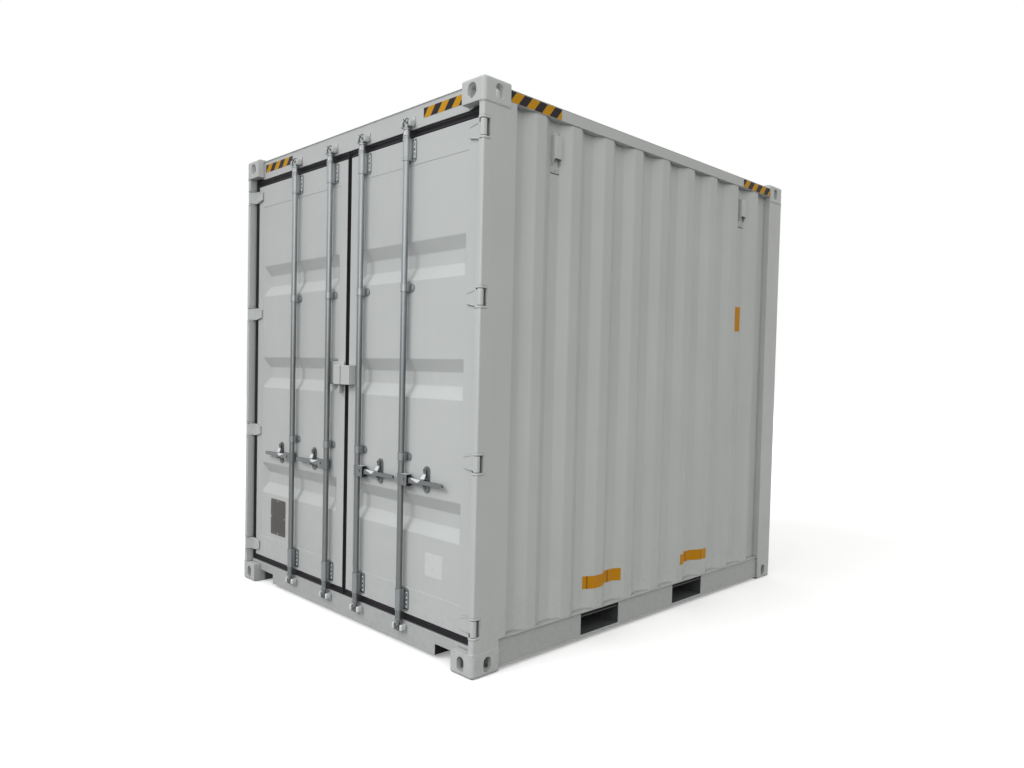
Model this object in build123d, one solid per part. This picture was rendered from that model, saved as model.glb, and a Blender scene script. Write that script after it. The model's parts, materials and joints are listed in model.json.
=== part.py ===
from build123d import *
import os
from math import cos, floor, radians, sin

os.makedirs("parts", exist_ok=True)

# A ten foot high shipping container, in millimetres. The origin is on the ground under the middle of
# the box, +Z is up, the doors face -Y and the right-hand door is at +X.

# Overall size
LENGTH = 2991.0
WIDTH = 2438.0
HEIGHT = 2896.0

# Corner castings
CASTING_LENGTH = 178.0
CASTING_WIDTH = 162.0
CASTING_HEIGHT = 118.0
CASTING_WALL = 28.0
CASTING_CORNER_RADIUS = 22.0
CASTING_EDGE_RADIUS = 16.0
CASTING_HOLE_WIDTH = 51.0
CASTING_HOLE_HEIGHT = 79.0
CASTING_SHIELD_WIDTH = 63.5
CASTING_SLOT_LENGTH = 124.0
CASTING_SLOT_WIDTH = 63.5
HOLE_FROM_END = 101.5
HOLE_FROM_SIDE = 89.0
HOLE_FROM_BASE = 57.0

# Posts
POST_INSET = 4.0
POST_FACE_DEPTH = 5.0
POST_WIDTH = 47.0
POST_DEPTH = 220.0
POST_WALL = 6.0
REAR_POST_FLANGE = 46.0

# Rails, header and sill
RAIL_INSET = 8.0
TOP_RAIL_TUBE = 60.0
TOP_RAIL_WALL = 4.0
ROOF_DROP = 29.0
BASE_CLEARANCE = 20.0
BOTTOM_RAIL_WALL = 6.0
BOTTOM_RAIL_TOP_FLANGE = 43.0
BOTTOM_RAIL_BOTTOM_FLANGE = 36.0
BOTTOM_RAIL_LIP = 10.0
HEADER_FACE_DEPTH = 46.0
HEADER_DEPTH = 90.0
HEADER_DROP = 11.0
HEADER_BELOW_CASTING = 14.0
HEADER_FOOT_TAPER = 40.0
HEADER_WALL = 5.0
HEADER_LIP = 5.0
SILL_DEPTH = 100.0
SILL_WALL = 5.0
SILL_TOP = 138.0
SILL_NOTCH_LENGTH = 182.0
SILL_NOTCH_TOP = 80.0
REAR_RAIL_DEPTH = 60.0

# Corrugated sheet
SHEET = 2.0
SHEET_INSET = 13.0
CORRUGATION_DEPTH = 36.0
CORRUGATION_PITCH = 276.0
CORRUGATION_PLATEAU = 72.0
CORRUGATION_SLOPE = 66.0
FIRST_PLATEAU = 149.0
ROOF_RIB_PITCH = 209.0
ROOF_RIB_WIDTH = 130.0
ROOF_RIB_RISE = 14.0
ROOF_RIB_SLOPE = 28.0
ROOF_RIB_MARGIN = 45.0

# Floor and fork pockets
FLOOR_BOARD = 28.0
FLOOR_GAP = 4.0
CROSS_MEMBER_PITCH = 235.0
CROSS_MEMBER_FLANGE = 45.0
CROSS_MEMBER_WALL = 4.0
POCKET_WIDTH = 340.0
POCKET_WALL = 6.0
POCKET_SPACING = 900.0
POCKET_OFFSET = -50.0
POCKET_MOUTH_RISE = 14.0

# Vents on the side walls
VENT_WIDTH = 66.0
VENT_TAPER = 12.0
VENT_HEIGHT = 163.0
VENT_SLANT = 39.0
VENT_DEPTH = 16.0
VENT_WALL = 2.0
VENT_BELOW_RAIL = 45.0
VENT_FLANGE = 24.0
VENT_TAB = 32.0

# Doors
DOOR_FACE_DEPTH = 50.0
DOOR_THICKNESS = 50.0
DOOR_HALF_GAP = 20.0
SIDE_SEAL = 35.0
TOP_SEAL = 42.0
BOTTOM_SEAL = 40.0
STILE_WIDTH = 70.0
DOOR_RAIL_HEIGHT = 145.0
DOOR_FRAME_WALL = 4.0
PANEL_INSET = 2.0
PRESSING_HEIGHT = 206.0
PRESSING_DEPTH = 34.0
PRESSING_SLOPE = 67.0
PRESSING_END_SLOPE = 38.0
PRESSING_MARGIN = 12.0
PRESSING_ABOVE_BASE = 552.0
PRESSING_MIDDLE_RISE = 50.0
PRESSING_BELOW_TOP = 650.0
GASKET_FRONT = 1.0
GASKET_THICKNESS = 28.0
GASKET_CLEARANCE = 1.0
GASKET_HALF_GAP = 3.5

# Hinges
HINGE_FROM_DOOR_END = 69.0
HINGE_COUNT = 4
PIN_RADIUS = 10.0
PIN_FIT = 0.05
PIN_FROM_SIDE = 20.0
PIN_DEPTH = 20.0
BARREL_RADIUS = 16.0
BLADE_HEIGHT = 80.0
BLADE_THICKNESS = 10.0
BLADE_TAIL = 60.0
BLADE_TIP_HEIGHT = 54.0
BLADE_FRONT_ANGLE = 18.0
BLADE_BACK_ANGLE = 75.0
LUG_THICKNESS = 12.0
LUG_GAP = 2.0
LUG_RADIUS = 18.0
HINGE_NOTCH_DEPTH = 52.0

# Locking bars
BAR_FROM_GAP = 150.0
BAR_SPACING = 420.0
BAR_DEPTH = 21.0
BAR_RADIUS = 16.5
BAR_BORE = 13.0
BAR_FIT = 0.1
CAM_HUB_RADIUS = 15.0
CAM_HEIGHT = 27.0
CAM_REACH = 20.0
CAM_HORN_WIDTH = 12.0
CAM_HORN_HEIGHT = 22.0
CAM_HORN_ANGLE = 50.0
CAM_VENT = 5.0
CAM_ABOVE_HEADER_EDGE = 7.0
CAM_BELOW_SILL_TOP = 26.0
GUIDE_SLEEVE_WALL = 3.5
GUIDE_SADDLE = 26.0
GUIDE_PLATE = 4.0
GUIDE_REACH = 47.0
GUIDE_HEIGHT = 43.0
GUIDE_ABOVE_HANDLE = 120.0
GUIDE_ABOVE_LOCK = 420.0
BEARING_HEIGHT = 118.0
BEARING_ABOVE_BASE = 18.0
BEARING_BELOW_TOP = 5.0
BEARING_COLLAR = 8.0
BEARING_COLLAR_RADIUS = 20.9

# Cam keepers
KEEPER_WIDTH = 84.0
KEEPER_HEIGHT = 50.0
KEEPER_EDGE_MARGIN = 2.0
KEEPER_PLATE = 4.0
KEEPER_LUG = 17.0
KEEPER_LUG_HEIGHT = 40.0
KEEPER_FRONT = 12.0
KEEPER_LUG_RADIUS = 10.0

# Handles
HANDLE_HEIGHT = 909.0
HUB_HEIGHT = 66.0
HUB_FRONT = 2.0
HUB_REACH = 68.0
HUB_CLAMP_RADIUS = 20.5
HUB_PLATE = 6.0
HANDLE_PIVOT = 44.0
HANDLE_PIVOT_PIN = 6.0
HANDLE_EYE_RADIUS = 16.0
HANDLE_THICKNESS = 14.0
HANDLE_WIDTH = 25.0
HANDLE_TIP_WIDTH = 22.0
HANDLE_TIP = 365.0
HANDLE_SIDE_PLAY = 1.5

# Handle retainers and their gravity catches
RETAINER_POSITION = 186.0
RETAINER_WIDTH = 44.0
RETAINER_HEIGHT = 133.0
RETAINER_PLATE = 5.0
RETAINER_RISE = 16.0
CRADLE_GAP = 1.0
CRADLE_THICKNESS = 9.0
CATCH_PIVOT_RISE = 63.0
CATCH_PIN_RADIUS = 5.0
CATCH_PIN_HEAD = 2.0
CATCH_BOSS_GAP = 0.1
CATCH_EYE_RADIUS = 11.0
CATCH_THICKNESS = 8.0
CATCH_FRONT = 12.0
CATCH_REACH_ACROSS = 34.0
CATCH_REST_GAP = 1.0
CATCH_END_RADIUS = 9.0

# Lock box and data plate
LOCK_BOX_LEFT = 72.0
LOCK_BOX_RIGHT = 95.0
LOCK_BOX_BASE = 1398.0
LOCK_BOX_TOP = 1511.0
LOCK_BOX_WALL = 4.0
LOCK_BOX_FRONT = 3.0
LOCK_BOX_HALF_SEAM = 3.0
STAPLE_PLATE_LENGTH = 181.0
STAPLE_PLATE_TOP = 1534.0
STAPLE_PLATE = 6.0
STAPLE_EDGE = 24.0
STAPLE_TAB_OFFSET = 46.0
STAPLE_TAB_WIDTH = 20.0
STAPLE_TAB_DROP = 50.0
DATA_PLATE_FROM_EDGE = 213.0
DATA_PLATE_ABOVE_BASE = 179.0
DATA_PLATE_WIDTH = 198.0
DATA_PLATE_HEIGHT = 240.0
DATA_PLATE_THICKNESS = 3.0

# Planes worked out from the sizes above
HALF_WIDTH = WIDTH / 2
FRONT = -LENGTH / 2
BACK = LENGTH / 2
POST_OUT = HALF_WIDTH - POST_INSET
POST_IN = POST_OUT - POST_WIDTH
CASTING_IN = HALF_WIDTH - CASTING_WIDTH
RAIL_OUT = HALF_WIDTH - RAIL_INSET
RAIL_WEB = RAIL_OUT - BOTTOM_RAIL_LIP
RAIL_WEB_IN = RAIL_WEB - BOTTOM_RAIL_WALL
CASTING_UNDERSIDE = HEIGHT - CASTING_HEIGHT
HEADER_BASE = CASTING_UNDERSIDE - HEADER_BELOW_CASTING
ROOF_Z = HEIGHT - ROOF_DROP
TOP_RAIL_BASE = ROOF_Z - TOP_RAIL_TUBE
FLOOR_TOP = SILL_TOP + FLOOR_BOARD
CASTING_FRONT_EDGE = FRONT + CASTING_LENGTH
CASTING_BACK_EDGE = BACK - CASTING_LENGTH
POST_BACK_EDGE = FRONT + POST_FACE_DEPTH + POST_DEPTH
REAR_FACE = BACK - POST_FACE_DEPTH
SHEET_OUT = HALF_WIDTH - SHEET_INSET
SHEET_IN = SHEET_OUT - CORRUGATION_DEPTH - SHEET
END_SHEET_OUT = REAR_FACE - POST_FACE_DEPTH
HEADER_FACE = FRONT + HEADER_FACE_DEPTH
HEADER_BACK = HEADER_FACE + HEADER_DEPTH
DOOR_FACE = FRONT + DOOR_FACE_DEPTH
PANEL_FACE = DOOR_FACE + PANEL_INSET
DOOR_BACK = DOOR_FACE + DOOR_THICKNESS
DOOR_EDGE = POST_IN - SIDE_SEAL
DOOR_BASE = SILL_TOP + BOTTOM_SEAL
DOOR_TOP = HEADER_BASE - TOP_SEAL
PIN_X = HALF_WIDTH - PIN_FROM_SIDE
PIN_Y = FRONT + PIN_DEPTH
BAR_Y = FRONT + BAR_DEPTH
CAM_TOP_BASE = CASTING_UNDERSIDE + CAM_ABOVE_HEADER_EDGE
CAM_BOTTOM_TOP = SILL_TOP - CAM_BELOW_SILL_TOP
CROSS_MEMBER_BASE = BASE_CLEARANCE + BOTTOM_RAIL_WALL
HINGE_PITCH = (DOOR_TOP - DOOR_BASE - 2 * HINGE_FROM_DOOR_END) / (HINGE_COUNT - 1)
HINGE_HEIGHTS = [DOOR_BASE + HINGE_FROM_DOOR_END + HINGE_PITCH * k for k in range(HINGE_COUNT)]
LOW_PRESSING = DOOR_BASE + PRESSING_ABOVE_BASE
HIGH_PRESSING = DOOR_TOP - PRESSING_BELOW_TOP
PRESSING_HEIGHTS = (LOW_PRESSING, (LOW_PRESSING + HIGH_PRESSING) / 2 + PRESSING_MIDDLE_RISE, HIGH_PRESSING)
POCKET_CENTRES = [POCKET_OFFSET + side * POCKET_SPACING / 2 for side in (-1, 1)]
INNER_BAR = DOOR_HALF_GAP + BAR_FROM_GAP
BAR_POSITIONS = (INNER_BAR, INNER_BAR + BAR_SPACING)
GUIDE_HEIGHTS = (HANDLE_HEIGHT + GUIDE_ABOVE_HANDLE, LOCK_BOX_TOP + GUIDE_ABOVE_LOCK)
HUB_BACK = 2 * BAR_DEPTH - HUB_FRONT
RETAINER_Z = HANDLE_HEIGHT + RETAINER_RISE


def block(x, y, z):
    """A box given by its low and high limits along each axis."""
    limits = (x, y, z)
    middle = [(low + high) / 2 for low, high in limits]
    return Pos(*middle) * Box(*[abs(high - low) for low, high in limits])


def upright(points, base, top):
    """A prism standing on a closed outline given in plan."""
    outline = make_face(Polyline(*points, close=True))
    return Pos(0, 0, base) * extrude(outline, top - base)


def across_depth(points, front, back):
    """A prism running front to back, from a closed outline of (x, z) points."""
    outline = make_face(Polyline(*points, close=True))
    return Plane((0, back, 0), x_dir=(1, 0, 0), z_dir=(0, -1, 0)) * extrude(outline, back - front)


def both_sides(shape):
    """The right-hand piece and its mirror image on the left."""
    return [shape, mirror(shape, Plane.YZ)]


def write(name, *solids):
    """Write one named piece, which may hold several like solids."""
    pieces = []
    for shape in solids:
        pieces += shape.solids()
    export_step(Compound(children=pieces), f"parts/{name}.step")


def stadium_hole(width, height, depth, plane):
    """A round-ended slot cutter, long along the plane's Y."""
    straight = height - width
    outline = Rectangle(width, straight) + Pos(0, straight / 2) * Circle(width / 2)
    outline += Pos(0, -straight / 2) * Circle(width / 2)
    return plane * extrude(outline, depth, both=True)


def shield_hole(width, height, depth, plane):
    """A cutter with a round head and a pointed foot, as the upper end apertures have."""
    half = width / 2
    shoulder = height / 2 - half
    foot = -height / 2
    edges = [
        Line((-half, shoulder), (-half, foot / 2)),
        RadiusArc((-half, foot / 2), (0, foot), -half),
        RadiusArc((0, foot), (half, foot / 2), -half),
        Line((half, foot / 2), (half, shoulder)),
        ThreePointArc((half, shoulder), (0, height / 2), (-half, shoulder)),
    ]
    return plane * extrude(make_face(edges), depth, both=True)


def casting(shield):
    """The right-hand casting of the door end, at the bottom, hollow with three apertures."""
    x = (CASTING_IN, HALF_WIDTH)
    y = (FRONT, CASTING_FRONT_EDGE)
    body = block(x, y, (0, CASTING_HEIGHT))
    corner = [edge for edge in body.edges().filter_by(Axis.Z)
              if edge.center().X > CASTING_IN + CASTING_WALL and edge.center().Y < FRONT + CASTING_WALL]
    body = fillet(corner, CASTING_CORNER_RADIUS)
    rim = [edge for edge in body.faces().sort_by(Axis.Z)[0].edges()
           if edge.center().X > HALF_WIDTH - CASTING_CORNER_RADIUS
           or edge.center().Y < FRONT + CASTING_CORNER_RADIUS]
    body = fillet(rim, CASTING_EDGE_RADIUS)
    inner = [(low + CASTING_WALL, high - CASTING_WALL) for low, high in (x, y)]
    body -= block(*inner, (CASTING_WALL, CASTING_HEIGHT - CASTING_WALL))
    slot_x = HALF_WIDTH - HOLE_FROM_SIDE
    slot_y = FRONT + HOLE_FROM_END
    body -= stadium_hole(CASTING_SLOT_WIDTH, CASTING_SLOT_LENGTH, CASTING_WALL,
                         Plane((slot_x, slot_y, 0)))
    # The end plane's own Y points down, so that a shield's foot does once the piece is turned over.
    end_plane = Plane((slot_x, FRONT, HOLE_FROM_BASE), x_dir=(1, 0, 0), z_dir=(0, 1, 0))
    side_plane = Plane((HALF_WIDTH, slot_y, HOLE_FROM_BASE), x_dir=(0, 1, 0), z_dir=(1, 0, 0))
    if shield:
        body -= shield_hole(CASTING_SHIELD_WIDTH, CASTING_HOLE_HEIGHT, CASTING_WALL, end_plane)
    else:
        body -= stadium_hole(CASTING_HOLE_WIDTH, CASTING_HOLE_HEIGHT, CASTING_WALL, end_plane)
    body -= stadium_hole(CASTING_HOLE_WIDTH, CASTING_HOLE_HEIGHT, CASTING_WALL, side_plane)
    return body


def four_corners(shape):
    """The piece at all four corners of the plan."""
    pair = both_sides(shape)
    return pair + [mirror(piece, Plane.XZ) for piece in pair]


def door_post():
    """The right-hand door post, a box section with a notch round each hinge."""
    x = (POST_IN, POST_OUT)
    y = (FRONT + POST_FACE_DEPTH, POST_BACK_EDGE)
    z = (CASTING_HEIGHT, TOP_RAIL_BASE)
    post = block(x, y, z)
    post -= block((x[0] + POST_WALL, x[1] - POST_WALL), (y[0] + POST_WALL, y[1] - POST_WALL), z)
    post -= block(x, (CASTING_FRONT_EDGE, y[1]), (CASTING_HEIGHT, FLOOR_TOP))
    post -= block(x, (y[0], CASTING_FRONT_EDGE), (CASTING_UNDERSIDE, TOP_RAIL_BASE))
    reach = BLADE_HEIGHT / 2 + LUG_GAP + LUG_THICKNESS
    for height in HINGE_HEIGHTS:
        post -= block(x, (FRONT, FRONT + HINGE_NOTCH_DEPTH), (height - reach, height + reach))
    return post


def hinge_lugs(height):
    """Two lug plates in the post's notch, joined by the hinge pin."""
    outline = [
        Line((POST_IN, PIN_Y - LUG_RADIUS), (PIN_X, PIN_Y - LUG_RADIUS)),
        RadiusArc((PIN_X, PIN_Y - LUG_RADIUS), (PIN_X + LUG_RADIUS, PIN_Y), -LUG_RADIUS),
        Line((PIN_X + LUG_RADIUS, PIN_Y), (PIN_X + LUG_RADIUS, FRONT + HINGE_NOTCH_DEPTH)),
        Line((PIN_X + LUG_RADIUS, FRONT + HINGE_NOTCH_DEPTH), (POST_IN, FRONT + HINGE_NOTCH_DEPTH)),
        Line((POST_IN, FRONT + HINGE_NOTCH_DEPTH), (POST_IN, PIN_Y - LUG_RADIUS)),
    ]
    lug = extrude(make_face(outline), LUG_THICKNESS)
    face = BLADE_HEIGHT / 2 + LUG_GAP
    lugs = Pos(0, 0, height + face) * lug + Pos(0, 0, height - face - LUG_THICKNESS) * lug
    return lugs + Pos(PIN_X, PIN_Y, height) * Cylinder(PIN_RADIUS, 2 * face)


def hinge_blade(height):
    """The right door's blade: a barrel on the pin, cranked back to lie flat on the door's face."""
    face = DOOR_FACE
    front = DOOR_FACE - BLADE_THICKNESS
    knee = POST_IN
    tail = DOOR_EDGE - BLADE_TAIL

    def on_barrel(angle):
        return (PIN_X - BARREL_RADIUS * cos(radians(angle)), PIN_Y + BARREL_RADIUS * sin(radians(angle)))

    plan = [on_barrel(-BLADE_FRONT_ANGLE), (knee, front), (tail, front), (tail, face), (knee, face),
            on_barrel(BLADE_BACK_ANGLE)]
    low, high = -BLADE_HEIGHT / 2, BLADE_HEIGHT / 2
    blade = upright(plan, low, high)
    tip = BLADE_TIP_HEIGHT / 2
    side = [(tail, -tip), (DOOR_EDGE, low), (PIN_X, low), (PIN_X, high), (DOOR_EDGE, high), (tail, tip)]
    blade &= across_depth(side, FRONT, DOOR_BACK)
    blade += Pos(PIN_X, PIN_Y, 0) * Cylinder(BARREL_RADIUS, BLADE_HEIGHT)
    blade -= Pos(PIN_X, PIN_Y, 0) * Cylinder(PIN_RADIUS + PIN_FIT, BLADE_HEIGHT)
    return Pos(0, 0, height) * blade


def rear_post():
    """The right-hand post of the closed end, a folded section with a broad end flange."""
    start = CASTING_BACK_EDGE
    end = REAR_FACE
    fold = REAR_POST_FLANGE

    def section(inset):
        return [
            (POST_IN + inset, start + inset), (POST_OUT - inset, start + inset),
            (POST_OUT - inset, end - inset), (CASTING_IN + inset, end - inset),
            (CASTING_IN + inset, end - fold + inset), (POST_IN - fold + inset, end - fold + inset),
            (POST_IN + inset, end - 2 * fold + inset),
        ]

    post = upright(section(0), CASTING_HEIGHT, CASTING_UNDERSIDE)
    return post - upright(section(POST_WALL), CASTING_HEIGHT, CASTING_UNDERSIDE)


def tube_along_x(reach, y, z, wall):
    """An open rectangular tube lying across the box."""
    outer = block((-reach, reach), y, z)
    return outer - block((-reach, reach), (y[0] + wall, y[1] - wall), (z[0] + wall, z[1] - wall))


def door_header():
    """The header box with a thin lip along its top edge; its foot tapers off under the castings."""
    y = (HEADER_FACE, HEADER_BACK)
    z = (HEADER_BASE, HEIGHT - HEADER_DROP)
    header = tube_along_x(CASTING_IN, y, z, HEADER_WALL)
    header += block((-CASTING_IN, CASTING_IN), (HEADER_FACE - HEADER_LIP, HEADER_FACE + HEADER_WALL),
                    (z[1] - HEADER_LIP, z[1]))
    foot = across_depth([(CASTING_IN, HEADER_BASE), (CASTING_IN + HEADER_FOOT_TAPER, CASTING_UNDERSIDE),
                         (CASTING_IN, CASTING_UNDERSIDE)], *y)
    for piece in both_sides(foot):
        header += piece
    return header


def sill_outline(inset):
    """The sill seen from the doors, with a notch at each end beside the castings."""
    notch = CASTING_IN - SILL_NOTCH_LENGTH
    right = [
        (notch - inset, BASE_CLEARANCE + inset), (notch - inset, SILL_NOTCH_TOP + inset),
        (CASTING_IN - inset, SILL_NOTCH_TOP + inset), (CASTING_IN - inset, CASTING_HEIGHT + inset),
        (POST_IN - inset, CASTING_HEIGHT + inset), (POST_IN - inset, SILL_TOP - inset),
    ]
    return right + [(-x, z) for x, z in reversed(right)]


def door_sill():
    """The sill under the doors, a box open at its back."""
    back = HEADER_FACE + SILL_DEPTH
    sill = across_depth(sill_outline(0), HEADER_FACE, back)
    return sill - across_depth(sill_outline(SILL_WALL), HEADER_FACE + SILL_WALL, back)


def top_side_rail():
    x = (RAIL_OUT - TOP_RAIL_TUBE, RAIL_OUT)
    y = (CASTING_FRONT_EDGE, CASTING_BACK_EDGE)
    z = (TOP_RAIL_BASE, ROOF_Z)
    rail = block(x, y, z)
    wall = TOP_RAIL_WALL
    return rail - block((x[0] + wall, x[1] - wall), y, (z[0] + wall, z[1] - wall))


def bottom_side_rail():
    """A channel facing inwards, its web set in behind the flanges' edges and cut for the fork pockets."""
    y = (CASTING_FRONT_EDGE, CASTING_BACK_EDGE)
    wall = BOTTOM_RAIL_WALL
    rail = block((RAIL_WEB_IN, RAIL_WEB), y, (BASE_CLEARANCE, FLOOR_TOP))
    rail += block((RAIL_OUT - BOTTOM_RAIL_TOP_FLANGE, RAIL_OUT), y, (FLOOR_TOP - wall, FLOOR_TOP))
    rail += block((RAIL_OUT - BOTTOM_RAIL_BOTTOM_FLANGE, RAIL_OUT), y,
                  (BASE_CLEARANCE, BASE_CLEARANCE + wall))
    for centre in POCKET_CENTRES:
        half = POCKET_WIDTH / 2
        rail -= block((RAIL_WEB_IN, RAIL_WEB), (centre - half, centre + half),
                      (CROSS_MEMBER_BASE + POCKET_WALL, SILL_TOP + POCKET_MOUTH_RISE))
    return rail


def fork_pockets():
    """Two tunnels from side to side that take a lift truck's forks."""
    half = POCKET_WIDTH / 2 + POCKET_WALL
    z = (CROSS_MEMBER_BASE, SILL_TOP)
    return [tube_along_x(RAIL_WEB_IN, (c - half, c + half), z, POCKET_WALL) for c in POCKET_CENTRES]


def cross_members():
    """Channels under the floor, spread evenly in each bay between sill, pockets and rear rail."""
    reach = RAIL_WEB_IN
    pocket = POCKET_WIDTH / 2 + POCKET_WALL
    bays = [
        (HEADER_FACE + SILL_DEPTH, POCKET_CENTRES[0] - pocket),
        (POCKET_CENTRES[0] + pocket, POCKET_CENTRES[1] - pocket),
        (POCKET_CENTRES[1] + pocket, REAR_FACE - REAR_RAIL_DEPTH),
    ]
    members = []
    for start, end in bays:
        count = floor((end - start) / CROSS_MEMBER_PITCH)
        step = (end - start) / (count + 1)
        for k in range(count):
            web = start + step * (k + 1)
            z = (CROSS_MEMBER_BASE, SILL_TOP)
            member = block((-reach, reach), (web, web + CROSS_MEMBER_FLANGE), z)
            hollow = (z[0] + CROSS_MEMBER_WALL, z[1] - CROSS_MEMBER_WALL)
            member -= block((-reach, reach), (web + CROSS_MEMBER_WALL, web + CROSS_MEMBER_FLANGE), hollow)
            members.append(member)
    return members


def plateau_count(start, end, first):
    """How many whole plateaus a corrugated sheet has between start and end."""
    used = first + CORRUGATION_PLATEAU + CORRUGATION_SLOPE
    return floor((end - start - used) / CORRUGATION_PITCH) + 1


def corrugated(start, end, first, outer, inner):
    """Points of a corrugated sheet's outer face, as (along, across), from start to end."""
    points = [(start, inner)]
    for k in range(plateau_count(start, end, first)):
        rise = start + first + k * CORRUGATION_PITCH
        points += [(rise - CORRUGATION_SLOPE, inner), (rise, outer), (rise + CORRUGATION_PLATEAU, outer),
                   (rise + CORRUGATION_PLATEAU + CORRUGATION_SLOPE, inner)]
    return points + [(end, inner)]


def side_wall():
    """The right-hand wall, with upright corrugations."""
    line = corrugated(POST_BACK_EDGE, CASTING_BACK_EDGE, FIRST_PLATEAU, SHEET_OUT,
                      SHEET_OUT - CORRUGATION_DEPTH)
    outer = [(x, y) for y, x in line]
    inner = [(x - SHEET, y) for y, x in reversed(line)]
    return upright(outer + inner, FLOOR_TOP, TOP_RAIL_BASE)


def end_wall():
    """The closed end's corrugated wall, its pattern centred between the rear posts."""
    span = 2 * CASTING_IN
    count = floor((span - 2 * FIRST_PLATEAU) / CORRUGATION_PITCH)
    first = (span - count * CORRUGATION_PITCH - CORRUGATION_PLATEAU) / 2
    line = corrugated(-CASTING_IN, CASTING_IN, first, END_SHEET_OUT, END_SHEET_OUT - CORRUGATION_DEPTH)
    inner = [(x, y - SHEET) for x, y in reversed(line)]
    return upright(line + inner, FLOOR_TOP, TOP_RAIL_BASE)


def pressed_block(x, z, face, depth, slope_x, slope_z):
    """A block whose mouth lies at face and whose floor, at depth behind it, is smaller all round."""
    middle_x, middle_z = (x[0] + x[1]) / 2, (z[0] + z[1]) / 2
    width, height = x[1] - x[0], z[1] - z[0]
    mouth = Plane((middle_x, face, middle_z), x_dir=(1, 0, 0), z_dir=(0, -1, 0))
    floor_plane = Plane((middle_x, face + depth, middle_z), x_dir=(1, 0, 0), z_dir=(0, -1, 0))
    return loft([mouth * Rectangle(width, height),
                 floor_plane * Rectangle(width - 2 * slope_x, height - 2 * slope_z)], ruled=True)


def roof_panel():
    """The roof sheet over the top rails, with shallow ribs pressed up across the box."""
    plate = block((-RAIL_OUT, RAIL_OUT), (CASTING_FRONT_EDGE, CASTING_BACK_EDGE), (ROOF_Z, ROOF_Z + SHEET))
    plate += block((-CASTING_IN, CASTING_IN), (HEADER_BACK, REAR_FACE), (ROOF_Z, ROOF_Z + SHEET))
    reach = RAIL_OUT - TOP_RAIL_TUBE - ROOF_RIB_MARGIN
    length = CASTING_BACK_EDGE - CASTING_FRONT_EDGE
    count = floor(length / ROOF_RIB_PITCH)
    slope = ROOF_RIB_SLOPE
    for k in range(count):
        y = (k - (count - 1) / 2) * ROOF_RIB_PITCH
        size = (2 * reach, ROOF_RIB_WIDTH)
        top = (2 * (reach - slope), ROOF_RIB_WIDTH - 2 * slope)
        rise = ROOF_RIB_RISE
        plate += loft([Pos(0, y, ROOF_Z + SHEET) * Rectangle(*size),
                       Pos(0, y, ROOF_Z + SHEET + rise) * Rectangle(*top)], ruled=True)
        hollow = [side - 2 * SHEET for side in size], [side - 2 * SHEET for side in top]
        plate -= loft([Pos(0, y, ROOF_Z) * Rectangle(*hollow[0]),
                       Pos(0, y, ROOF_Z + rise) * Rectangle(*hollow[1])], ruled=True)
    return plate


def floor_panel():
    """The plywood floor, its back corners cut round the rear posts."""
    side = SHEET_IN - FLOOR_GAP
    back = REAR_FACE - REAR_RAIL_DEPTH
    panel = block((-side, side), (DOOR_BACK + FLOOR_GAP, back), (SILL_TOP, FLOOR_TOP))
    cut_x = POST_IN - REAR_POST_FLANGE - FLOOR_GAP
    cut_y = REAR_FACE - 2 * REAR_POST_FLANGE - FLOOR_GAP
    for x in ((cut_x, side), (-side, -cut_x)):
        panel -= block(x, (cut_y, back), (SILL_TOP, FLOOR_TOP))
    return panel


def vent(recess):
    """A hooded vent in one recess of the right wall, counted from the doors, its slanted foot open."""
    rise = POST_BACK_EDGE + FIRST_PLATEAU + recess * CORRUGATION_PITCH
    gap = CORRUGATION_PITCH - CORRUGATION_PLATEAU
    y = rise + CORRUGATION_PLATEAU + gap / 2
    back = SHEET_OUT - CORRUGATION_DEPTH
    front = back + VENT_DEPTH
    top = TOP_RAIL_BASE - VENT_BELOW_RAIL - VENT_FLANGE
    base = top - VENT_HEIGHT
    half = VENT_WIDTH / 2

    def section(near, far, inset):
        wide = half - inset
        narrow = wide - VENT_TAPER
        return [(near, y - wide), (far, y - narrow), (far, y + narrow), (near, y + wide)]

    hood = upright(section(back, front, 0), base, top)
    hood -= upright(section(back + VENT_WALL, front - VENT_WALL, VENT_WALL), base, top - VENT_WALL)
    foot = [(back + VENT_WALL, base), (front, base), (front, base + VENT_SLANT)]
    hood -= across_depth(foot, y - half, y + half)
    plate = block((back, back + VENT_WALL), (y - half, y + half), (base - VENT_TAB, top + VENT_FLANGE))
    return hood + plate


def keeper(x, base):
    """A cam keeper: a plate on the frame with an open-fronted lug each side of the cam."""
    half = KEEPER_WIDTH / 2
    plate = HEADER_FACE - KEEPER_PLATE
    shape = block((x - half, x + half), (plate, HEADER_FACE), (base, base + KEEPER_HEIGHT))
    low = base + (KEEPER_HEIGHT - KEEPER_LUG_HEIGHT) / 2
    for side in (-1, 1):
        outer, inner = x + side * half, x + side * (half - KEEPER_LUG)
        lug = block(sorted((outer, inner)), (FRONT + KEEPER_FRONT, plate), (low, low + KEEPER_LUG_HEIGHT))
        shape += fillet(lug.edges().filter_by(Axis.X).group_by(Axis.Y)[0], KEEPER_LUG_RADIUS)
    return shape


def keepers():
    """The keepers of all the bars: those on the header stand on its edge, the others centre on a cam."""
    lift = (KEEPER_HEIGHT - CAM_HEIGHT) / 2
    shapes = []
    for x in BAR_POSITIONS:
        shapes += both_sides(keeper(x, CASTING_UNDERSIDE + KEEPER_EDGE_MARGIN))
        shapes += both_sides(keeper(x, CAM_BOTTOM_TOP - CAM_HEIGHT - lift))
    return shapes


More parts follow.
